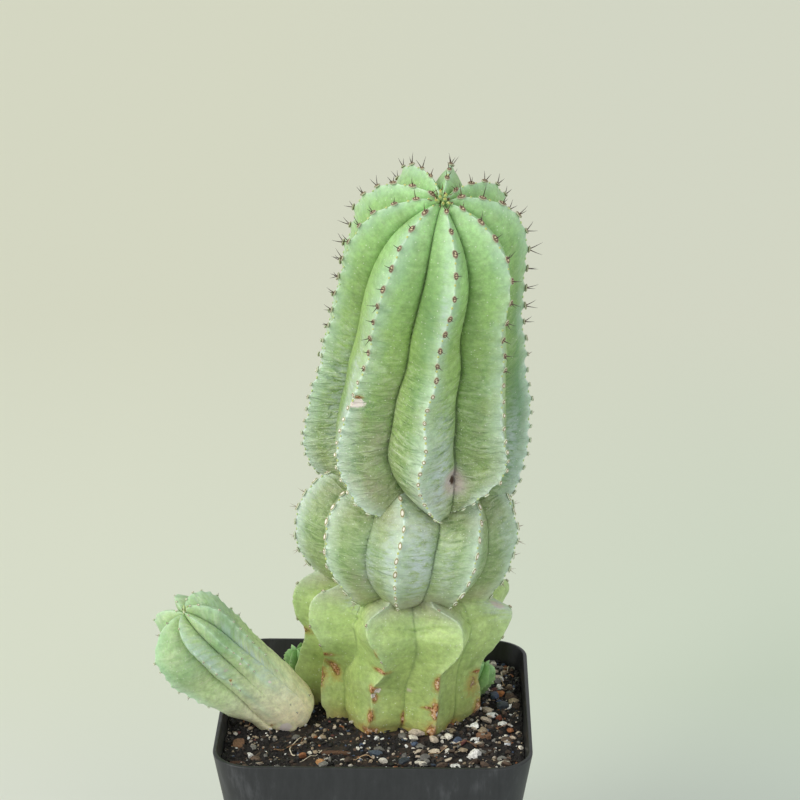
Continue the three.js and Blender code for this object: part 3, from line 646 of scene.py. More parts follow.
# The offset leans to the front left and hangs over the pot's edge.
offset = {"base": (-26.2, -4, 81.3), "direction": (-0.539, -0.36, 0.765)}
offsetBody = {
    "seed": 11, "rows": (6, 110), "ridge": 0.35, "crease": 0.2, "straight": [0.1, 0.1, 0.3, 0.35, 0.3],
    "crest": [(0.4, -8.5), (4, -8.2), (7.6, -5.6), (8.9, -1), (9.1, 5), (9.1, 12), (9.4, 19), (10, 26),
              (10.7, 33), (10.9, 38.5), (10, 43.4), (7.4, 46.6), (4.6, 47.6), (2.2, 47), (0.6, 45.4)],
    "crestStops": (0, 1, 14),
    "furrow": [(0.4, -8.4), (3.9, -8), (7.5, -5.5), (8.8, -0.8), (8.9, 5), (8.7, 12), (8.3, 19), (7.6, 26),
               (7, 33), (6.2, 38.5), (4.6, 42.4), (3, 44.3), (1.8, 45), (1, 45), (0.3, 44.8)],
    "furrowStops": (0, 1, 14),
    "ribs": ribList([[10, 6, 2, 0], [55, 52, 50, 49], [92, 92, 90, 87], [135, 134, 132, 130],
                     [190, 192, 192, 192], [246, 250, 252, 252], [306, 303, 300, 300]],
                    fullness={0: [1, 1.1, 1.5, 1.6, 1.42, 1.15], 1: [1, 1, 0.98, 1], 2: [1, 0.92, 0.86, 0.84],
                              3: [0.98, 0.86, 0.82, 0.82], 4: [0.98, 0.92, 0.86, 0.8], 5: [1, 1, 0.98],
                              6: [1, 1.04, 1.16, 1.3]}),
    "wander": 1.6, "wanderLength": 19, "swell": 0.15, "swellLength": 11, "shieldGap": [3.6, 3.4, 3.0],
    "tooth": 0.45, "toothFrom": 0.4, "toothReach": 0.9, "bead": 0.03, "lump": 0.4, "lumpSize": 6,
}
offsetMarks = {
    "bloom": [(36, 49, 12, 22, 0.8), (24, 112, 18, 12, 1), (34, 115, 8, 12, 0.7), (40, 180, 8, 60, 0.5),
              (40, 260, 8, 60, 0.5), (16, 100, 6, 14, 0.6)],
    "aged": [(10, 60, 8, 60, 0.15), (18, 140, 6, 30, 0.4), (26, 70, 5, 12, 0.5)],
    "deep": [(30, 8, 9, 14, 0.25), (36, 150, 6, 40, 0.3)],
    "cork": [(1.6, 40, 0.8, 8, 0.7), (24, 52, 1, 4, 0.7)],
    "hole": [(13, 128, 0.6, 3, 0.7), (28, 60, 0.5, 3, 0.7)],
    "chip": [(-1.5, 56, 1.7, 13, 1.3), (26, 84, 0.8, 3, 0.9), (14, 97, 0.7, 4, 0.8)],
}
offsetLook = {
    "span": (-8, 46), "roughness": 0.52, "speckChance": 0.2, "marginFrom": (0.3, 0.6),
    "wrinkles": [(0.0, 0.1), (0.5, 0.2), (1.0, 0.3)], "furrows": [(0.0, 0.0), (0.35, 0.12), (0.7, 0.8)],
    # the cream at the foot is the offset's own colour, pushed paler as painted light that stands in for light bounced
    # up from below
    "greens": [(0.0, "#fbe9c6"), (0.14, "#fbeec4"), (0.3, "#f2f2c8"), (0.42, "#dce8b8"), (0.6, "#afcc8c"),
               (0.8, "#94b97c"), (1.0, "#9cc288")],
    "mottle": "#d6dda8", "wrinkle": "#9db476", "pale": "#f0efd2", "aged": "#c9c0a4", "margin": "#c6e2c6",
    # furrow is the colour of the painted shade in the furrows
    "furrow": "#6c8f50", "bloom": "#bccfcb", "halo": "#c8b880",
}
offsetPlace = straightPlace(offset["base"], offset["direction"], bend=-0.6)
offsetGrid = ribGrid(offsetBody, offsetPlace)
sideStem = skinGrid("leaningOffset", offsetGrid)
for markName, patches in offsetMarks.items():
    paintPatches(sideStem, markName, patches)
finishPiece(sideStem, succulentSkin("paleOffsetSkin", offsetLook), "offset_skin", ["side_stem"])
print("offset:", len(sideStem.data.polygons), "faces")


def setField(piece, name, values, kind="FLOAT"):
    mesh = piece.data
    if name not in mesh.attributes:
        mesh.attributes.new(name, kind, "POINT")
    width = 4 if kind == "FLOAT_COLOR" else 1
    values = np.asarray(values, np.float32)
    filled = np.tile(values, len(mesh.vertices)) if values.size == width else values.ravel()
    mesh.attributes[name].data.foreach_set("color" if width == 4 else "value", filled)


# Copies of a modelled piece, each with a mesh of its own and its own values, joined into one.
def joinCopies(name, copies):
    pieces = []
    for source, place, fields in copies:
        copy = source.copy()
        copy.data = source.data.copy()
        bpy.context.collection.objects.link(copy)
        copy.data.transform(place)
        for field, value in fields.items():
            setField(copy, field, value, "FLOAT_COLOR" if field == "tint" else "FLOAT")
        pieces.append(copy)
    return joinPieces(name, pieces)


def dropSources(*sources):
    for source in sources:
        bpy.data.objects.remove(source, do_unlink=True)


def shapeVertices(piece, change):
    for vertex in piece.data.vertices:
        vertex.co = change(vertex.co.copy())


def placement(spot, turn, size, lift=0.0):
    return (Matrix.Translation((spot[1] + turn.col[2] * lift) * mm) @ turn.to_4x4()
            @ Matrix.Diagonal((*[value * mm for value in size], 1)))


crestLook = {"shieldWidth": 1.15, "shieldLength": 1.7, "shieldHeight": 0.55, "sink": 0.14, "sinkReach": 0.2,
             "scarSize": (0.5, 0.72), "scarsMissing": 0.12, "spineRadius": 0.17, "pairLength": (2.2, 3.4),
             "pairTilt": (-30, 5), "pairSplay": (12, 28.8)}
# Per joint: the chance that a shield is missing below and above a height, the shields' size and wear, and the
# chance of spines on the plainer and on the spinier ribs, with their sides, sizes, leans and age.
crestKinds = {
    "low": {"bareTo": 0.55, "missing": (1, 0.5), "wide": 0.6, "long": 0.7, "worn": (0.1, 0.5)},
    "middle": {"bareTo": 0, "missing": (0, 0), "wide": 1.05, "long": 1.55, "worn": (0.75, 1),
               "spines": (0.2, 0.75), "sides": (-1, 1), "length": (1.2, 2.6), "tilt": (-25, 15), "splay": (8, 30),
               "age": -0.8, "thick": 0.7},
    "top": {"bareTo": 0, "missing": (0, 0), "wide": 1.05, "long": 0.86, "worn": (0.6, 1.1), "spines": (0.35, 0.35),
            "sides": (1,), "length": (0.7, 1.5), "tilt": (-30, 30), "splay": (-30, 30), "age": -0.6, "thick": 1},
    "pup": {"bareTo": 0.45, "missing": (0.85, 0.3), "wide": 0.42, "long": 0.5, "worn": (0.5, 1.0),
            "spines": (0.3, 0.3), "sides": (1,), "length": (0.6, 1.1), "tilt": (-20, 20), "splay": (-30, 30),
            "age": 0.2, "thick": 0.6},
}


# A shield: an oval cushion one unit wide, sunk in the middle. "rim" runs from 0 in the middle to 1 at the edge.
def modelShield():
    bpy.ops.mesh.primitive_uv_sphere_add(segments=10, ring_count=8, radius=0.5)
    shield = bpy.context.object
    distance = [math.hypot(v.co.x, v.co.y) * 2 for v in shield.data.vertices]

    def sink(co):
        hollow = crestLook["sink"] * math.exp(-(co.xy.length / crestLook["sinkReach"]) ** 2)
        return Vector((co.x, co.y, co.z - (hollow if co.z > 0 else 0)))

    shapeVertices(shield, sink)
    setField(shield, "rim", distance)
    return shield


# A spine one unit long, thickest near its foot and slightly curved.
def modelSpine():
    bpy.ops.mesh.primitive_cone_add(vertices=6, radius1=1, radius2=0.12, depth=1, location=(0, 0, 0.5))
    spine = bpy.context.object
    bpy.ops.object.transform_apply(location=True)
    editMesh(bpy.ops.mesh.subdivide, number_cuts=2)
    shapeVertices(spine, lambda co: Vector((co.x, co.y - 2.2 * co.z * (1 - co.z), co.z)))
    setField(spine, "rim", [v.co.z for v in spine.data.vertices])
    bpy.ops.object.shade_smooth()
    return spine


def buildCrestPieces():
    shield, spine = modelShield(), modelSpine()
    rng = random.Random(21)
    shields, spines = [], []

    def addShield(spot, turn, size, lift, worn, dot=0.0):
        shields.append((shield, placement(spot, turn, size, lift), {"worn": worn, "dot": dot}))

    def addSpine(spot, turn, length, tilt, side, age, radius=1.0):
        lean = Matrix.Rotation(math.radians(side), 3, "Y") @ Matrix.Rotation(math.radians(tilt), 3, "X")
        width = crestLook["spineRadius"] * radius
        spines.append((spine, placement(spot, turn @ lean, (width, width, length), 0.1), {"age": age}))

    for joint, grid in [*stemGrids.items(), ("pup", offsetGrid)]:
        kind = crestKinds[joint]
        for rib in range(len(grid["ridges"])):
            for spot in crestSpots(grid, rib):
                fraction, _, turn = spot
                turn = turn @ Matrix.Rotation(rng.uniform(-0.25, 0.25), 3, "Z")
                size = rng.uniform(0.85, 1.15)
                missing = kind["missing"][int(fraction >= kind["bareTo"])]
                if missing == 1 or (missing and rng.random() < missing):
                    continue
                young = ease(fraction, 0.35, 0.6) if joint == "top" else 0
                wide, long = size * (kind["wide"] + 0.2 * young), size * (kind["long"] + 0.5 * young)
                worn = rng.uniform(*kind["worn"])
                if joint == "top":
                    worn = 0.05 + 0.9 * (1 - young) * worn
                addShield(spot, turn, (crestLook["shieldWidth"] * wide, crestLook["shieldLength"] * long,
                                       crestLook["shieldHeight"] * (0.8 + 0.4 * wide)), 0.14, worn)
                if joint == "top" and fraction > 0.5:
                    length = rng.uniform(*crestLook["pairLength"]) * (1.25 if rib == 3 else 1)
                    length *= 0.75 if fraction < 0.55 else 1
                    age = min(1, max(0, (fraction - 0.9) * 9)) * 0.7
                    for side in (-1, 1):
                        addSpine(spot, turn, length * rng.uniform(0.8, 1.15), rng.uniform(*crestLook["pairTilt"]),
                                 side * rng.uniform(*crestLook["pairSplay"]), age)
                elif "spines" in kind and rng.random() < kind["spines"][rib in (3, 4, 7, 8)]:
                    for side in kind["sides"]:
                        addSpine(spot, turn, rng.uniform(*kind["length"]), rng.uniform(*kind["tilt"]),
                                 side * rng.uniform(*kind["splay"]), kind["age"], kind["thick"])
            for spot in crestSpots(grid, rib, 0.5) if joint in ("top", "middle") else ():
                if rng.random() < crestLook["scarsMissing"]:
                    continue
                size = rng.uniform(*crestLook["scarSize"])
                addShield(spot, spot[2], (size, size * 1.25, size * 0.8), 0.05, 0.5, 1.0)
    # the growing tips: young leaves, young shields and soft reddish spines
    for tip, leafCount, reach in ((stemGrids["top"], 7, 1.0), (offsetGrid, 4, 0.55)):
        middle = Vector(tip["points"][-1].mean(axis=0))
        up = (middle - Vector(tip["points"][-14].mean(axis=0))).normalized()
        turn = up.to_track_quat("Z", "Y").to_matrix()
        for k in range(leafCount * 3):
            around, out = k * 2.4, (0.35 + 0.13 * k) * reach
            place = middle + turn @ Vector((math.cos(around), math.sin(around), 0)) * out
            stand = turn @ Matrix.Rotation(around, 3, "Z") @ Matrix.Rotation(math.radians(4 + 2.2 * k), 3, "Y")
            if k < leafCount:
                addShield((1, place), stand, (1.25 * reach, 0.9 * reach, 5 * reach), 1.9 * reach, 0.5, 1.5)
            elif k < leafCount * 2:
                addShield((1, place), stand, (0.8 * reach, 0.8 * reach, 1.6 * reach), 0.5 * reach, -0.3)
            addSpine((1, place + up * 0.6), stand, rng.uniform(1.4, 2.7) * reach, rng.uniform(-12, 12),
                     rng.uniform(-14, 14), 1.0, 0.9 * reach)
    shieldPiece = joinCopies("crestShields", shields)
    spinePiece = joinCopies("crestSpines", spines)
    dropSources(shield, spine)
    return shieldPiece, spinePiece


# Horny shield: a brown-pink rim round a tan cushion, chalk white where worn, and yellow-green leaf scars.
def shieldHorn():
    material, tree, shader = newMaterial("hornyShield", Roughness=0.6)
    rim, worn, dot = (addNode(tree, "Attribute", out="Fac", attribute_name=key) for key in ("rim", "worn", "dot"))
    place = addNode(tree, "TexCoord", out="Object")
    grit = addNode(tree, "TexNoise", {"Vector": place, "Scale": 2200, "Detail": 3})
    uneven = addNode(tree, "Math", {0: grit, 1: 0.35, 2: -0.17}, operation="MULTIPLY_ADD")
    ringPlace = addNode(tree, "Math", {0: rim, 1: uneven}, operation="ADD")
    fresh = addNode(tree, "ValToRGB", {0: ringPlace}, stops=[(0.0, "#e2d2ab"), (0.34, "#d6c197"), (0.5, "#5a4030"),
                                                             (0.76, "#7a6450"), (1.0, "#b3b896")])
    old = addNode(tree, "ValToRGB", {0: ringPlace}, stops=[(0.0, "#f6f3e8"), (0.46, "#efeadb"), (0.6, "#857a48"),
                                                           (0.8, "#a3a573"), (1.0, "#dbe6cf")])
    colour = addNode(tree, "Mix", {0: worn, 6: fresh, 7: old}, out=2, data_type="RGBA")
    scar = addNode(tree, "ValToRGB", {0: ringPlace}, stops=[(0.0, "#8e8a45"), (0.4, "#c5c26a"),
                                                            (0.9, "#b9cf92")])
    colour = addNode(tree, "Mix", {0: dot, 6: colour, 7: scar}, out=2, data_type="RGBA")
    bump = addNode(tree, "Bump", {"Height": grit, "Strength": 0.6, "Distance": 0.0002})
    feedShader(shader, Base_Color=colour, Normal=bump)
    return material


# Spine horn: grey-brown with a darker tip, reddish while young, bleached when old.
def spineHorn():
    material, tree, shader = newMaterial("spineHorn", Roughness=0.42)
    rim, age = (addNode(tree, "Attribute", out="Fac", attribute_name=key) for key in ("rim", "age"))
    mature = addNode(tree, "ValToRGB", {0: rim}, stops=[(0.0, "#6d5648"), (0.4, "#4a3a36"), (1.0, "#2e2426")])
    young = addNode(tree, "ValToRGB", {0: rim}, stops=[(0.0, "#8a5a3a"), (0.5, "#6a3026"), (1.0, "#3a1c1a")])
    youth = addNode(tree, "Math", {0: age, 1: 1.0}, operation="MULTIPLY", use_clamp=True)
    bleach = addNode(tree, "Math", {0: age, 1: -1.0}, operation="MULTIPLY", use_clamp=True)
    colour = addNode(tree, "Mix", {0: youth, 6: mature, 7: young}, out=2, data_type="RGBA")
    colour = addNode(tree, "Mix", {0: bleach, 6: colour, 7: paint("#b3a796")}, out=2, data_type="RGBA")
    feedShader(shader, Base_Color=colour)
    return material


shieldPiece, spinePiece = buildCrestPieces()
finishPiece(shieldPiece, shieldHorn(), "spine_horn")
finishPiece(spinePiece, spineHorn(), "spine_horn",
            ["spines_%s_%s" % (rib, level) for rib in "abcdefghi" for level in ("low", "high")])


# Two small green buds at the foot of the stem.
budPlaces = {
    "leftBud": {"base": (-20.8, 13, 82.4), "direction": (-0.2, -0.2, 0.9), "size": 1.1, "node": "bud_left"},
    "rightBud": {"base": (26.2, 12.8, 77.5), "direction": (0.45, -0.1, 0.9), "size": 1.25, "node": "bud_right"},
}
budLook = {
    "span": (-2, 9), "roughness": 0.45, "speckChance": 0.05,
    "wrinkles": [(0.0, 0.1), (1.0, 0.1)], "furrows": [(0.0, 0.8), (1.0, 1.0)],
    "greens": [(0.0, "#9fb070"), (0.5, "#86a868"), (1.0, "#8db87a")], "mottle": "#6f9448", "wrinkle": "#6f9c44",
    # furrow is the colour of the painted shade in the furrows
    "pale": "#b9d68c", "aged": "#a6a070", "margin": "#b5d890", "furrow": "#4d7a35", "bloom": "#b9d0b8",
    "halo": "#b0a850",
}
budSkin = succulentSkin("youngBudSkin", budLook)
# radius and height along a bud of size 1, on a rib and in a furrow
budCrest = ((0.2, -2.2), (2, -1.6), (2.8, 0.5), (3.5, 3), (3.6, 5.2), (2.8, 7.2), (1.4, 8.2), (0.2, 7.8))
budFurrow = ((0.2, -2), (1.7, -1.4), (2.2, 0.5), (2.3, 3), (2.2, 5), (1.5, 6.6), (0.7, 7.2), (0.1, 7.2))
for budName, bud in budPlaces.items():
    budBody = {
        "seed": len(budName) * 7, "rows": (3, 26), "ridge": 0.4, "crease": 0.1, "straight": [0.6, 0.8, 0.8],
        "crest": np.array(budCrest) * bud["size"], "crestStops": (0, 1, 7),
        "furrow": np.array(budFurrow) * bud["size"], "furrowStops": (0, 1, 7),
        "ribs": ribList([[start, start + 5] for start in range(10, 370, 60)]),
        "wander": 3, "wanderLength": 5, "swell": 0.1, "swellLength": 4, "shieldGap": [1.5, 1.2], "tooth": 0.55,
        "toothReach": 0.7, "bead": 0.08, "lump": 0.25, "lumpSize": 3,
    }
    budPiece = skinGrid(budName, ribGrid(budBody, straightPlace(bud["base"], bud["direction"])))
    finishPiece(budPiece, budSkin, "bud_skin", [bud["node"]])
print("buds done")


potShape = {"height": 80, "rim": 86, "foot": 60, "corner": 11, "footEdge": 2.2, "wall": 1.1, "drain": 4,
            "drainAt": 19, "rounding": 0.28}


# A plain black nursery pot: a tapered tub with round corners, a thin wall and four drain holes.
def buildPot():
    bpy.ops.mesh.primitive_cube_add(size=1, location=(0, 0, 0.5))
    pot = bpy.context.object
    pot.name = pot.data.name = "nurseryPot"
    bpy.ops.object.transform_apply(location=True)
    shapeVertices(pot, lambda co: Vector((*(co.xy * (potShape["foot"] + (potShape["rim"] - potShape["foot"]) * co.z)),
                                          co.z * potShape["height"])) * mm)

    def endHeights(edge):
        return [pot.data.vertices[k].co.z for k in edge.vertices]

    editMesh(bpy.ops.mesh.bevel, "EDGE", lambda edge: max(endHeights(edge)) - min(endHeights(edge)) > 0.01,
             offset=potShape["corner"] * mm, segments=10, clamp_overlap=False)
    editMesh(bpy.ops.mesh.delete, "FACE", lambda face: face.normal.z > 0.9, type="ONLY_FACE")
    editMesh(bpy.ops.mesh.bevel, "EDGE", lambda edge: max(endHeights(edge)) < 0.001,
             offset=potShape["footEdge"] * mm, segments=4, clamp_overlap=False)
    applyModifier(pot, "SOLIDIFY", thickness=potShape["wall"] * mm, offset=-1, use_even_offset=True)
    for x in (-1, 1):
        for y in (-1, 1):
            bpy.ops.mesh.primitive_cylinder_add(vertices=40, radius=potShape["drain"] * mm, depth=0.02,
                                                location=Vector((x, y, 0)) * potShape["drainAt"] * mm)
            cutter = bpy.context.object
            applyModifier(pot, "BOOLEAN", operation="DIFFERENCE", object=cutter)
            dropSources(cutter)
    applyModifier(pot, "BEVEL", width=potShape["rounding"] * mm, segments=3, limit_method="ANGLE",
                  angle_limit=math.radians(50))
    pickOnly(pot)
    bpy.ops.object.shade_smooth_by_angle(angle=math.radians(35))
    return pot


# Satin black polypropylene, slightly grey with dust and fine scuffs that run down the wall.
def potPlastic():
    material, tree, shader = newMaterial("satinBlackPolypropylene", Specular_IOR_Level=0.5)
    place = addNode(tree, "TexCoord", out="Object")
    stretched = addNode(tree, "Mapping", {"Vector": place, "Scale": (1, 1, 0.16)})
    streak = addNode(tree, "TexNoise", {"Vector": stretched, "Scale": 420, "Detail": 5, "Roughness": 0.7})
    cloud = addNode(tree, "TexNoise", {"Vector": place, "Scale": 38, "Detail": 4, "Roughness": 0.6})
    dust = addNode(tree, "Math", {0: streak, 1: cloud}, operation="MULTIPLY")
    colour = addNode(tree, "ValToRGB", {0: dust}, stops=[(0.14, "#1b1c1d"), (0.28, "#272829"),
                                                         (0.42, "#434446")])
    rough = addNode(tree, "MapRange", {0: cloud, 1: 0.3, 2: 0.7, 3: 0.34, 4: 0.52})
    grain = addNode(tree, "TexNoise", {"Vector": place, "Scale": 1300, "Detail": 2})
    bump = addNode(tree, "Bump", {"Height": grain, "Strength": 0.16, "Distance": 0.0001})
    feedShader(shader, Base_Color=colour, Roughness=rough, Normal=bump)
    return material


pot = buildPot()
finishPiece(pot, potPlastic(), "pot_plastic", ["pot"])
print("pot:", len(pot.data.polygons), "faces")

# Sizes in mm. The crumbs are lumps of three sizes, each with its height.
compost = {"level": 75.0, "mound": 1.6, "moundReach": 44.2, "lump": 0.45, "fall": 0.03, "half": 40.9, "corner": 9.5,
           "crustThickness": 1.2, "crumbs": ((3.1, 0.8), (1.3, 0.75), (0.6, 0.5)), "stemClear": 17}
# Coarse grains lie mostly to the right of coarseFrom, and only have the paler colours.
grainKinds = {
    "fineGrit0": {"count": 3000, "sizes": (0.35, 1.05), "detail": 1, "seed": 31},
    "fineGrit1": {"count": 3000, "sizes": (0.35, 1.05), "detail": 1, "seed": 41},
    "coarseGrit": {"count": 420, "sizes": (0.85, 2.1), "detail": 2, "seed": 57, "coarseFrom": 8},
}
darkColours = 3


def stemAway(x, y):
    return math.hypot(x - stemLine["footX"], y - stemLine["footY"])


def compostHeight(x, y):
    rise = compost["mound"] * max(0, 1 - stemAway(x, y) / compost["moundReach"])
    lump = math.sin(0.31 * x + 1.2) * math.cos(0.27 * y - 0.6) + 0.6 * math.sin(0.63 * x - 0.52 * y)
    return compost["level"] + rise + compost["lump"] * lump - compost["fall"] * max(0, y)


# How far a place lies beyond the straight part of the pot's inner sides, in x and in y.
def pastStraight(x, y, half):
    straight = half - compost["corner"]
    return max(0, abs(x) - straight), max(0, abs(y) - straight)


def insidePot(x, y, margin=0.0):
    return math.hypot(*pastStraight(x, y, compost["half"] - margin)) < compost["corner"]


def crumbHeight(x, y):
    spot = Vector((x, y, 0))
    rough = sum(noise.noise(spot / size) * height for size, height in compost["crumbs"])
    return compostHeight(x, y) + 0.1 + rough


# A crumbly crust over the whole filling, thick enough to be a closed sheet.
def buildCrust():
    bpy.ops.mesh.primitive_grid_add(x_subdivisions=230, y_subdivisions=230, size=2)
    crust = bpy.context.object
    crust.name = crust.data.name = "compostCrust"

    def settle(co):
        x, y = co.x * compost["half"], co.y * compost["half"]
        overX, overY = pastStraight(x, y, compost["half"])
        if overX or overY:
            pull = max(overX, overY) / math.hypot(overX, overY)
            x = math.copysign(abs(x) - overX + overX * pull, x)
            y = math.copysign(abs(y) - overY + overY * pull, y)
        return Vector((x, y, crumbHeight(x, y))) * mm

    shapeVertices(crust, settle)
    applyModifier(crust, "SOLIDIFY", thickness=compost["crustThickness"] * mm, offset=-1)
    setField(crust, "tint", paint("#191412"), "FLOAT_COLOR")
    setField(crust, "sheen", 0.8)
    return crust


# An angular grain: the hull of an uneven ball. Larger stones are cut back by a few random planes instead.
def modelGrain(seed, detail, flatness=0.75):
    rng = random.Random(seed)
    bpy.ops.mesh.primitive_ico_sphere_add(subdivisions=detail, radius=1)
    grain = bpy.context.object
    planes = [(Vector([rng.gauss(0, 1) for _ in range(3)]).normalized(), rng.uniform(0.5, 0.85)) for _ in range(8)]

    def cut(co):
        reach = min([1.0] + [depth / normal.dot(co) for normal, depth in planes if normal.dot(co) > depth])
        return co * reach * (rng.uniform(0.62, 1) if detail < 3 else rng.uniform(0.98, 1.02))

    shapeVertices(grain, cut)
    shapeVertices(grain, lambda co: Vector((co.x, co.y, co.z * flatness)))
    if detail < 3:
        editMesh(bpy.ops.mesh.convex_hull)
    return grain


grainColours = [
    # weight, colour, sheen
    (40, "#131211", 0.6), (24, "#1f1b19", 0.7), (14, "#2e2622", 0.75), (8, "#43352b", 0.8), (5, "#5f4d3f", 0.8),
    (6, "#74716b", 0.7), (5, "#98876f", 0.75), (4.5, "#bfb09c", 0.75), (3.4, "#dcd5c6", 0.7), (3.2, "#f0efea", 0.65),
    (3, "#44526a", 0.45), (1.4, "#9a6440", 0.8), (0.7, "#6c3f3a", 0.8),
]


def randomTint(rng, colours):
    _, code, sheen = rng.choices(colours, [entry[0] for entry in colours])[0]
    shade = rng.uniform(0.8, 1.2)
    return [channel * shade for channel in paint(code)[:3]] + [1.0], sheen


def buildGrains(name, count, sizes, detail, seed, coarseFrom=None):
    rng = random.Random(seed)
    colours = grainColours if coarseFrom is None else grainColours[darkColours:]
    shapes = [modelGrain(seed + k, detail, rng.uniform(0.6, 0.95)) for k in range(6)]
    copies = []
    while len(copies) < count:
        x, y = rng.uniform(-1, 1) * compost["half"], rng.uniform(-1, 1) * compost["half"]
        size = sizes[0] + (sizes[1] - sizes[0]) * rng.random() ** 2.2
        if not insidePot(x, y, size * 0.8) or stemAway(x, y) < compost["stemClear"]:
            continue
        if coarseFrom is not None and x < coarseFrom and rng.random() < 0.8:
            continue
        tint, sheen = randomTint(rng, colours)
        turn = Matrix.Rotation(rng.uniform(0, 6.3), 4, "Z") @ Matrix.Rotation(rng.uniform(-0.9, 0.9), 4, "X")
        stretch = Matrix.Diagonal((size * rng.uniform(0.8, 1.5) * mm, size * mm, size * rng.uniform(0.7, 1) * mm, 1))
        place = Vector((x, y, crumbHeight(x, y) + size * rng.uniform(-0.1, 0.45))) * mm
        copies.append((rng.choice(shapes), Matrix.Translation(place) @ turn @ stretch,
                       {"tint": tint, "sheen": sheen}))
    grains = joinCopies(name, copies)
    dropSources(*shapes)
    return grains


# Mixed mineral grit and compost crumbs: each grain has its own tint, broken by fine mottling and dust.
def gritMaterial(name, scale):
    material, tree, shader = newMaterial(name)
    tint = addNode(tree, "Attribute", out="Color", attribute_name="tint")
    sheen = addNode(tree, "Attribute", out="Fac", attribute_name="sheen")
    place = addNode(tree, "TexCoord", out="Object")
    mottle = addNode(tree, "TexNoise", {"Vector": place, "Scale": scale, "Detail": 5, "Roughness": 0.7})
    shade = addNode(tree, "MapRange", {0: mottle, 1: 0.3, 2: 0.7, 3: 0.5, 4: 1.45})
    colour = addNode(tree, "VectorMath", {0: tint, "Scale": shade}, operation="SCALE")
    bump = addNode(tree, "Bump", {"Height": mottle, "Strength": 0.8, "Distance": 0.0005})
    feedShader(shader, Base_Color=colour, Roughness=sheen, Normal=bump)
    return material


# Damp peat below the crust, dark brown with fine fibres.
def peatMaterial():
    material, tree, shader = newMaterial("dampPeat", Roughness=0.85)
    place = addNode(tree, "TexCoord", out="Object")
    fibres = addNode(tree, "TexNoise", {"Vector": place, "Scale": 500, "Detail": 6, "Roughness": 0.7})
    tone = addNode(tree, "ValToRGB", {0: fibres}, stops=[(0.35, "#120e0c"), (0.5, "#2a1f19"), (0.68, "#4d3a2c")])
    bump = addNode(tree, "Bump", {"Height": fibres, "Strength": 0.8, "Distance": 0.0006})
    feedShader(shader, Base_Color=tone, Normal=bump)
    return material


peat = peatMaterial()
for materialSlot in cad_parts["soil"].material_slots:
    materialSlot.material = peat

finishPiece(buildCrust(), gritMaterial("dampCompost", 900), "compost")
gritLook = gritMaterial("mixedGrit", 1500)
for grainName, grainKind in grainKinds.items():
    finishPiece(buildGrains(grainName, **grainKind), gritLook, "compost")


# Where a shape that is two units wide, turned about Z, fills the box of a loose piece of the part.
def boxPlacement(node, turn, stretch=(1, 1, 1)):
    low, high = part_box(node)
    size = [half * factor for half, factor in zip((high - low) / 2, stretch)]
    return Matrix.Translation((low + high) / 2) @ Matrix.Diagonal((*size, 1)) @ Matrix.Rotation(turn, 4, "Z")


# The larger stones lie where the loose pieces of the part lie.
stoneKinds = {
    "pumice": {"nodes": ["pumice_large", "pumice_small", "perlite_front", "perlite_left", "perlite_back",
                         "perlite_back_right"],
               "tints": ["#ece9e2", "#e2ddd0", "#d9d2c0"], "sheen": 0.85, "slot": "pale_mineral", "pits": 0.16},
    "chalkChips": {"nodes": ["chalk_chip_front", "chalk_chip_right", "chalk_chip_corner", "chalk_chip_side"],
                   "tints": ["#e4e2da", "#cfcbb9", "#d5d8dc"], "sheen": 0.7, "slot": "pale_mineral", "pits": 0.05},
    "slateChips": {"nodes": ["slate_front", "slate_middle", "slate_block", "slate_left", "slate_back"],
                   "tints": ["#46535f", "#2c343c", "#3a4247"], "sheen": 0.5, "slot": "slate", "pits": 0.03},
    "clayGranules": {"nodes": ["clay_granule_right", "clay_granule_side", "clay_granule_front", "clay_granule_left"],
                     "tints": ["#a86c3c", "#7e4530", "#b98858"], "sheen": 0.8, "slot": "clay_granule", "pits": 0.09},
}
for seed, (kindName, kind) in enumerate(stoneKinds.items()):
    copies, sources = [], []
    for number, node in enumerate(kind["nodes"]):
        stone = modelGrain(seed * 40 + number, 4, 1.0)
        sources.append(stone)

        def pit(co, number=number):
            return co * (1 + kind["pits"] * (noise.noise(co * 2.3 + Vector((number, 0, 0))) - 0.6
                                             * abs(noise.noise(co * 6 + Vector((0, number, 0))))))

        shapeVertices(stone, pit)
        copies.append((stone, boxPlacement(node, number * 1.7, (1.05, 1.05, 1.15)),
                       {"tint": paint(kind["tints"][number % len(kind["tints"])]), "sheen": kind["sheen"]}))
    stones = joinCopies(kindName, copies)
    bpy.ops.object.shade_smooth_by_angle(angle=math.radians(28))
    finishPiece(stones, gritLook, kind["slot"], kind["nodes"])
    dropSources(*sources)


# Bark: long chips with ridges along the grain and split ends.
def buildBark():
    nodes = ["bark_chip_" + side for side in ("front", "left", "corner", "back", "right")]
    copies, sources = [], []
    for number, node in enumerate(nodes):
        low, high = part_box(node)
        bpy.ops.mesh.primitive_cube_add(size=2)
        chip = bpy.context.object
        editMesh(bpy.ops.mesh.subdivide, number_cuts=14)
        longX = high.x - low.x > high.y - low.y

        def fray(co, number=number):
            ridge = noise.noise(Vector((co.x * 0.5, co.y * 4.5, number))) * 0.28
            width = 1 - 0.45 * abs(co.x) ** 3 + 0.16 * noise.noise(Vector((co.x * 3, 0, number)))
            split = 0.22 * noise.noise(Vector((0, co.y * 4, number + 5))) * abs(co.x)
            return Vector((co.x * (1 + split), co.y * width * 0.9, co.z * 0.8 + ridge - 0.25 * co.x ** 2))

        shapeVertices(chip, fray)
        sources.append(chip)
        copies.append((chip, boxPlacement(node, 0 if longX else math.pi / 2),
                       {"tint": paint(("#5a3f2c", "#7a5a42", "#4a3226")[number % 3]), "sheen": 0.85}))
    bark = joinCopies("barkChips", copies)
    dropSources(*sources)
    finishPiece(bark, gritLook, "bark", nodes)


buildBark()


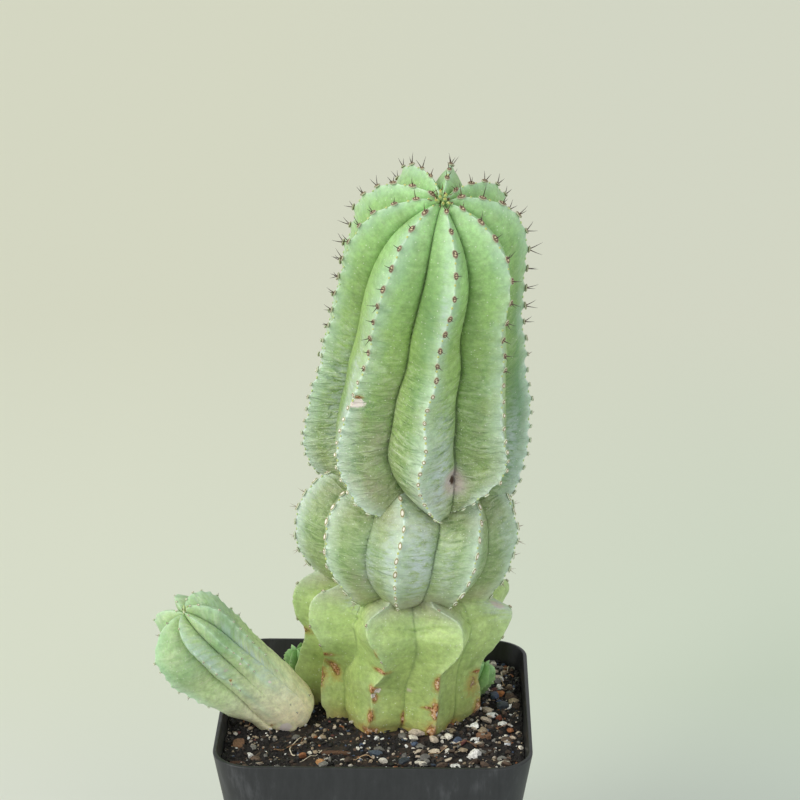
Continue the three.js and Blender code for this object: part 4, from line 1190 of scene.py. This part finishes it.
# Fine roots and fibres that lie over the compost.
rootLook = {
    "radius": (0.13, 0.24), "points": (10, 18), "step": 0.7, "bend": 0.45, "lift": 0.9,
    "tints": ("#d9cdb4", "#b89a74", "#8a6748"),
    "starts": [(35.8, 27, 100), (35.6, 18, 60), (-27, -24, 20), (-20, -27, 160), (12, -27, 10), (-35, -8, 80),
              (-30, 22, 40), (20, 35, 0), (34, -12, 110), (-14, -24, 200), (-6, -28, -20), (28, -20, 140)],
}


def buildRoots():
    rng = random.Random(12)
    pieces, step = [], rootLook["step"]
    for number, (x, y, heading) in enumerate(rootLook["starts"]):
        curve = bpy.data.curves.new("root", "CURVE")
        curve.dimensions = "3D"
        curve.bevel_depth = rng.uniform(*rootLook["radius"]) * mm
        curve.bevel_resolution = 1
        curve.use_fill_caps = True
        spline = curve.splines.new("POLY")
        count = rng.randint(*rootLook["points"])
        spline.points.add(count - 1)
        heading = math.radians(heading)
        for k in range(count):
            height = compostHeight(x, y) + rootLook["lift"] + 0.5 * math.sin(k * 0.7 + number)
            spline.points[k].co = (x * mm, y * mm, height * mm, 1)
            spline.points[k].radius = 1 - 0.6 * k / count
            heading += rng.uniform(-1, 1) * rootLook["bend"]
            nextX, nextY = x + math.cos(heading) * step, y + math.sin(heading) * step
            if insidePot(nextX, nextY, 1.2):
                x, y = nextX, nextY
            else:
                heading += 1.6
        root = bpy.data.objects.new("root", curve)
        bpy.context.collection.objects.link(root)
        pickOnly(root)
        bpy.ops.object.convert(target="MESH")
        root = bpy.context.object
        setField(root, "tint", paint(rootLook["tints"][number % 3]), "FLOAT_COLOR")
        setField(root, "sheen", 0.7)
        pieces.append(root)
    finishPiece(joinPieces("fineRoots", pieces), gritLook, "bark")


buildRoots()
print("compost and stones done")

studio = {
    "leftTones": [(0.0, "#dde0dc"), (0.4, "#d5d9c6"), (1.0, "#cfd0bb")],
    "rightTones": [(0.0, "#d4dbda"), (0.4, "#c5cfbc"), (1.0, "#cdcfbd")],
    "sunPower": 2.1, "sunAngle": 50, "worldStrength": 0.68, "fillPower": 0.7,
    "fillFrom": (0.7, -0.8, 0.3),
    "sunFrom": (-0.72, -0.5, 0.6), "cameraPlace": (19.0, -727.5, 416.0), "yaw": 0.96, "pitch": 18.78, "lens": 128.6,
}


def buildStudio():
    bpy.ops.mesh.primitive_plane_add(size=30)
    floor = bpy.context.object
    floor.name = floor.data.name = "studioFloor"
    # matt paper sweep, slightly cooler towards the front and the right
    material, tree, shader = newMaterial("mattPaperSweep", Roughness=0.9)
    sideways = addNode(tree, "SeparateXYZ", {0: addNode(tree, "TexCoord", out="Object")})
    deep = addNode(tree, "MapRange", {0: sideways.node.outputs[1], 1: -0.1, 2: 0.62})
    aside = addNode(tree, "MapRange", {0: sideways, 1: -0.12, 2: 0.14})
    leftTone = addNode(tree, "ValToRGB", {0: deep}, stops=studio["leftTones"])
    rightTone = addNode(tree, "ValToRGB", {0: deep}, stops=studio["rightTones"])
    colour = addNode(tree, "Mix", {0: aside, 6: leftTone, 7: rightTone}, out=2, data_type="RGBA")
    feedShader(shader, Base_Color=colour)
    floor.data.materials.append(material)
    world = bpy.data.worlds.new("softRoom")
    bpy.context.scene.world = world
    world.use_nodes = True
    world.node_tree.nodes["Background"].inputs[0].default_value = paint("#f3f6f7")
    world.node_tree.nodes["Background"].inputs[1].default_value = studio["worldStrength"]
    for name, power, source, tint in (("softKey", studio["sunPower"], studio["sunFrom"], "#fffefa"),
                                      ("softFill", studio["fillPower"], studio["fillFrom"], "#f6fbff")):
        bpy.ops.object.light_add(type="SUN", location=Vector(source))
        light = bpy.context.object
        light.name = name
        light.data.energy = power
        light.data.angle = math.radians(studio["sunAngle"])
        light.data.color = paint(tint)[:3]
        light.rotation_euler = (-Vector(source)).to_track_quat("-Z", "Y").to_euler()


def buildCamera():
    bpy.ops.object.camera_add(location=Vector(studio["cameraPlace"]) * mm)
    camera = bpy.context.object
    camera.rotation_euler = (math.radians(90 - studio["pitch"]), 0, math.radians(studio["yaw"]))
    camera.data.lens = studio["lens"]
    camera.data.clip_start = 0.01
    bpy.context.scene.camera = camera


buildStudio()
buildCamera()
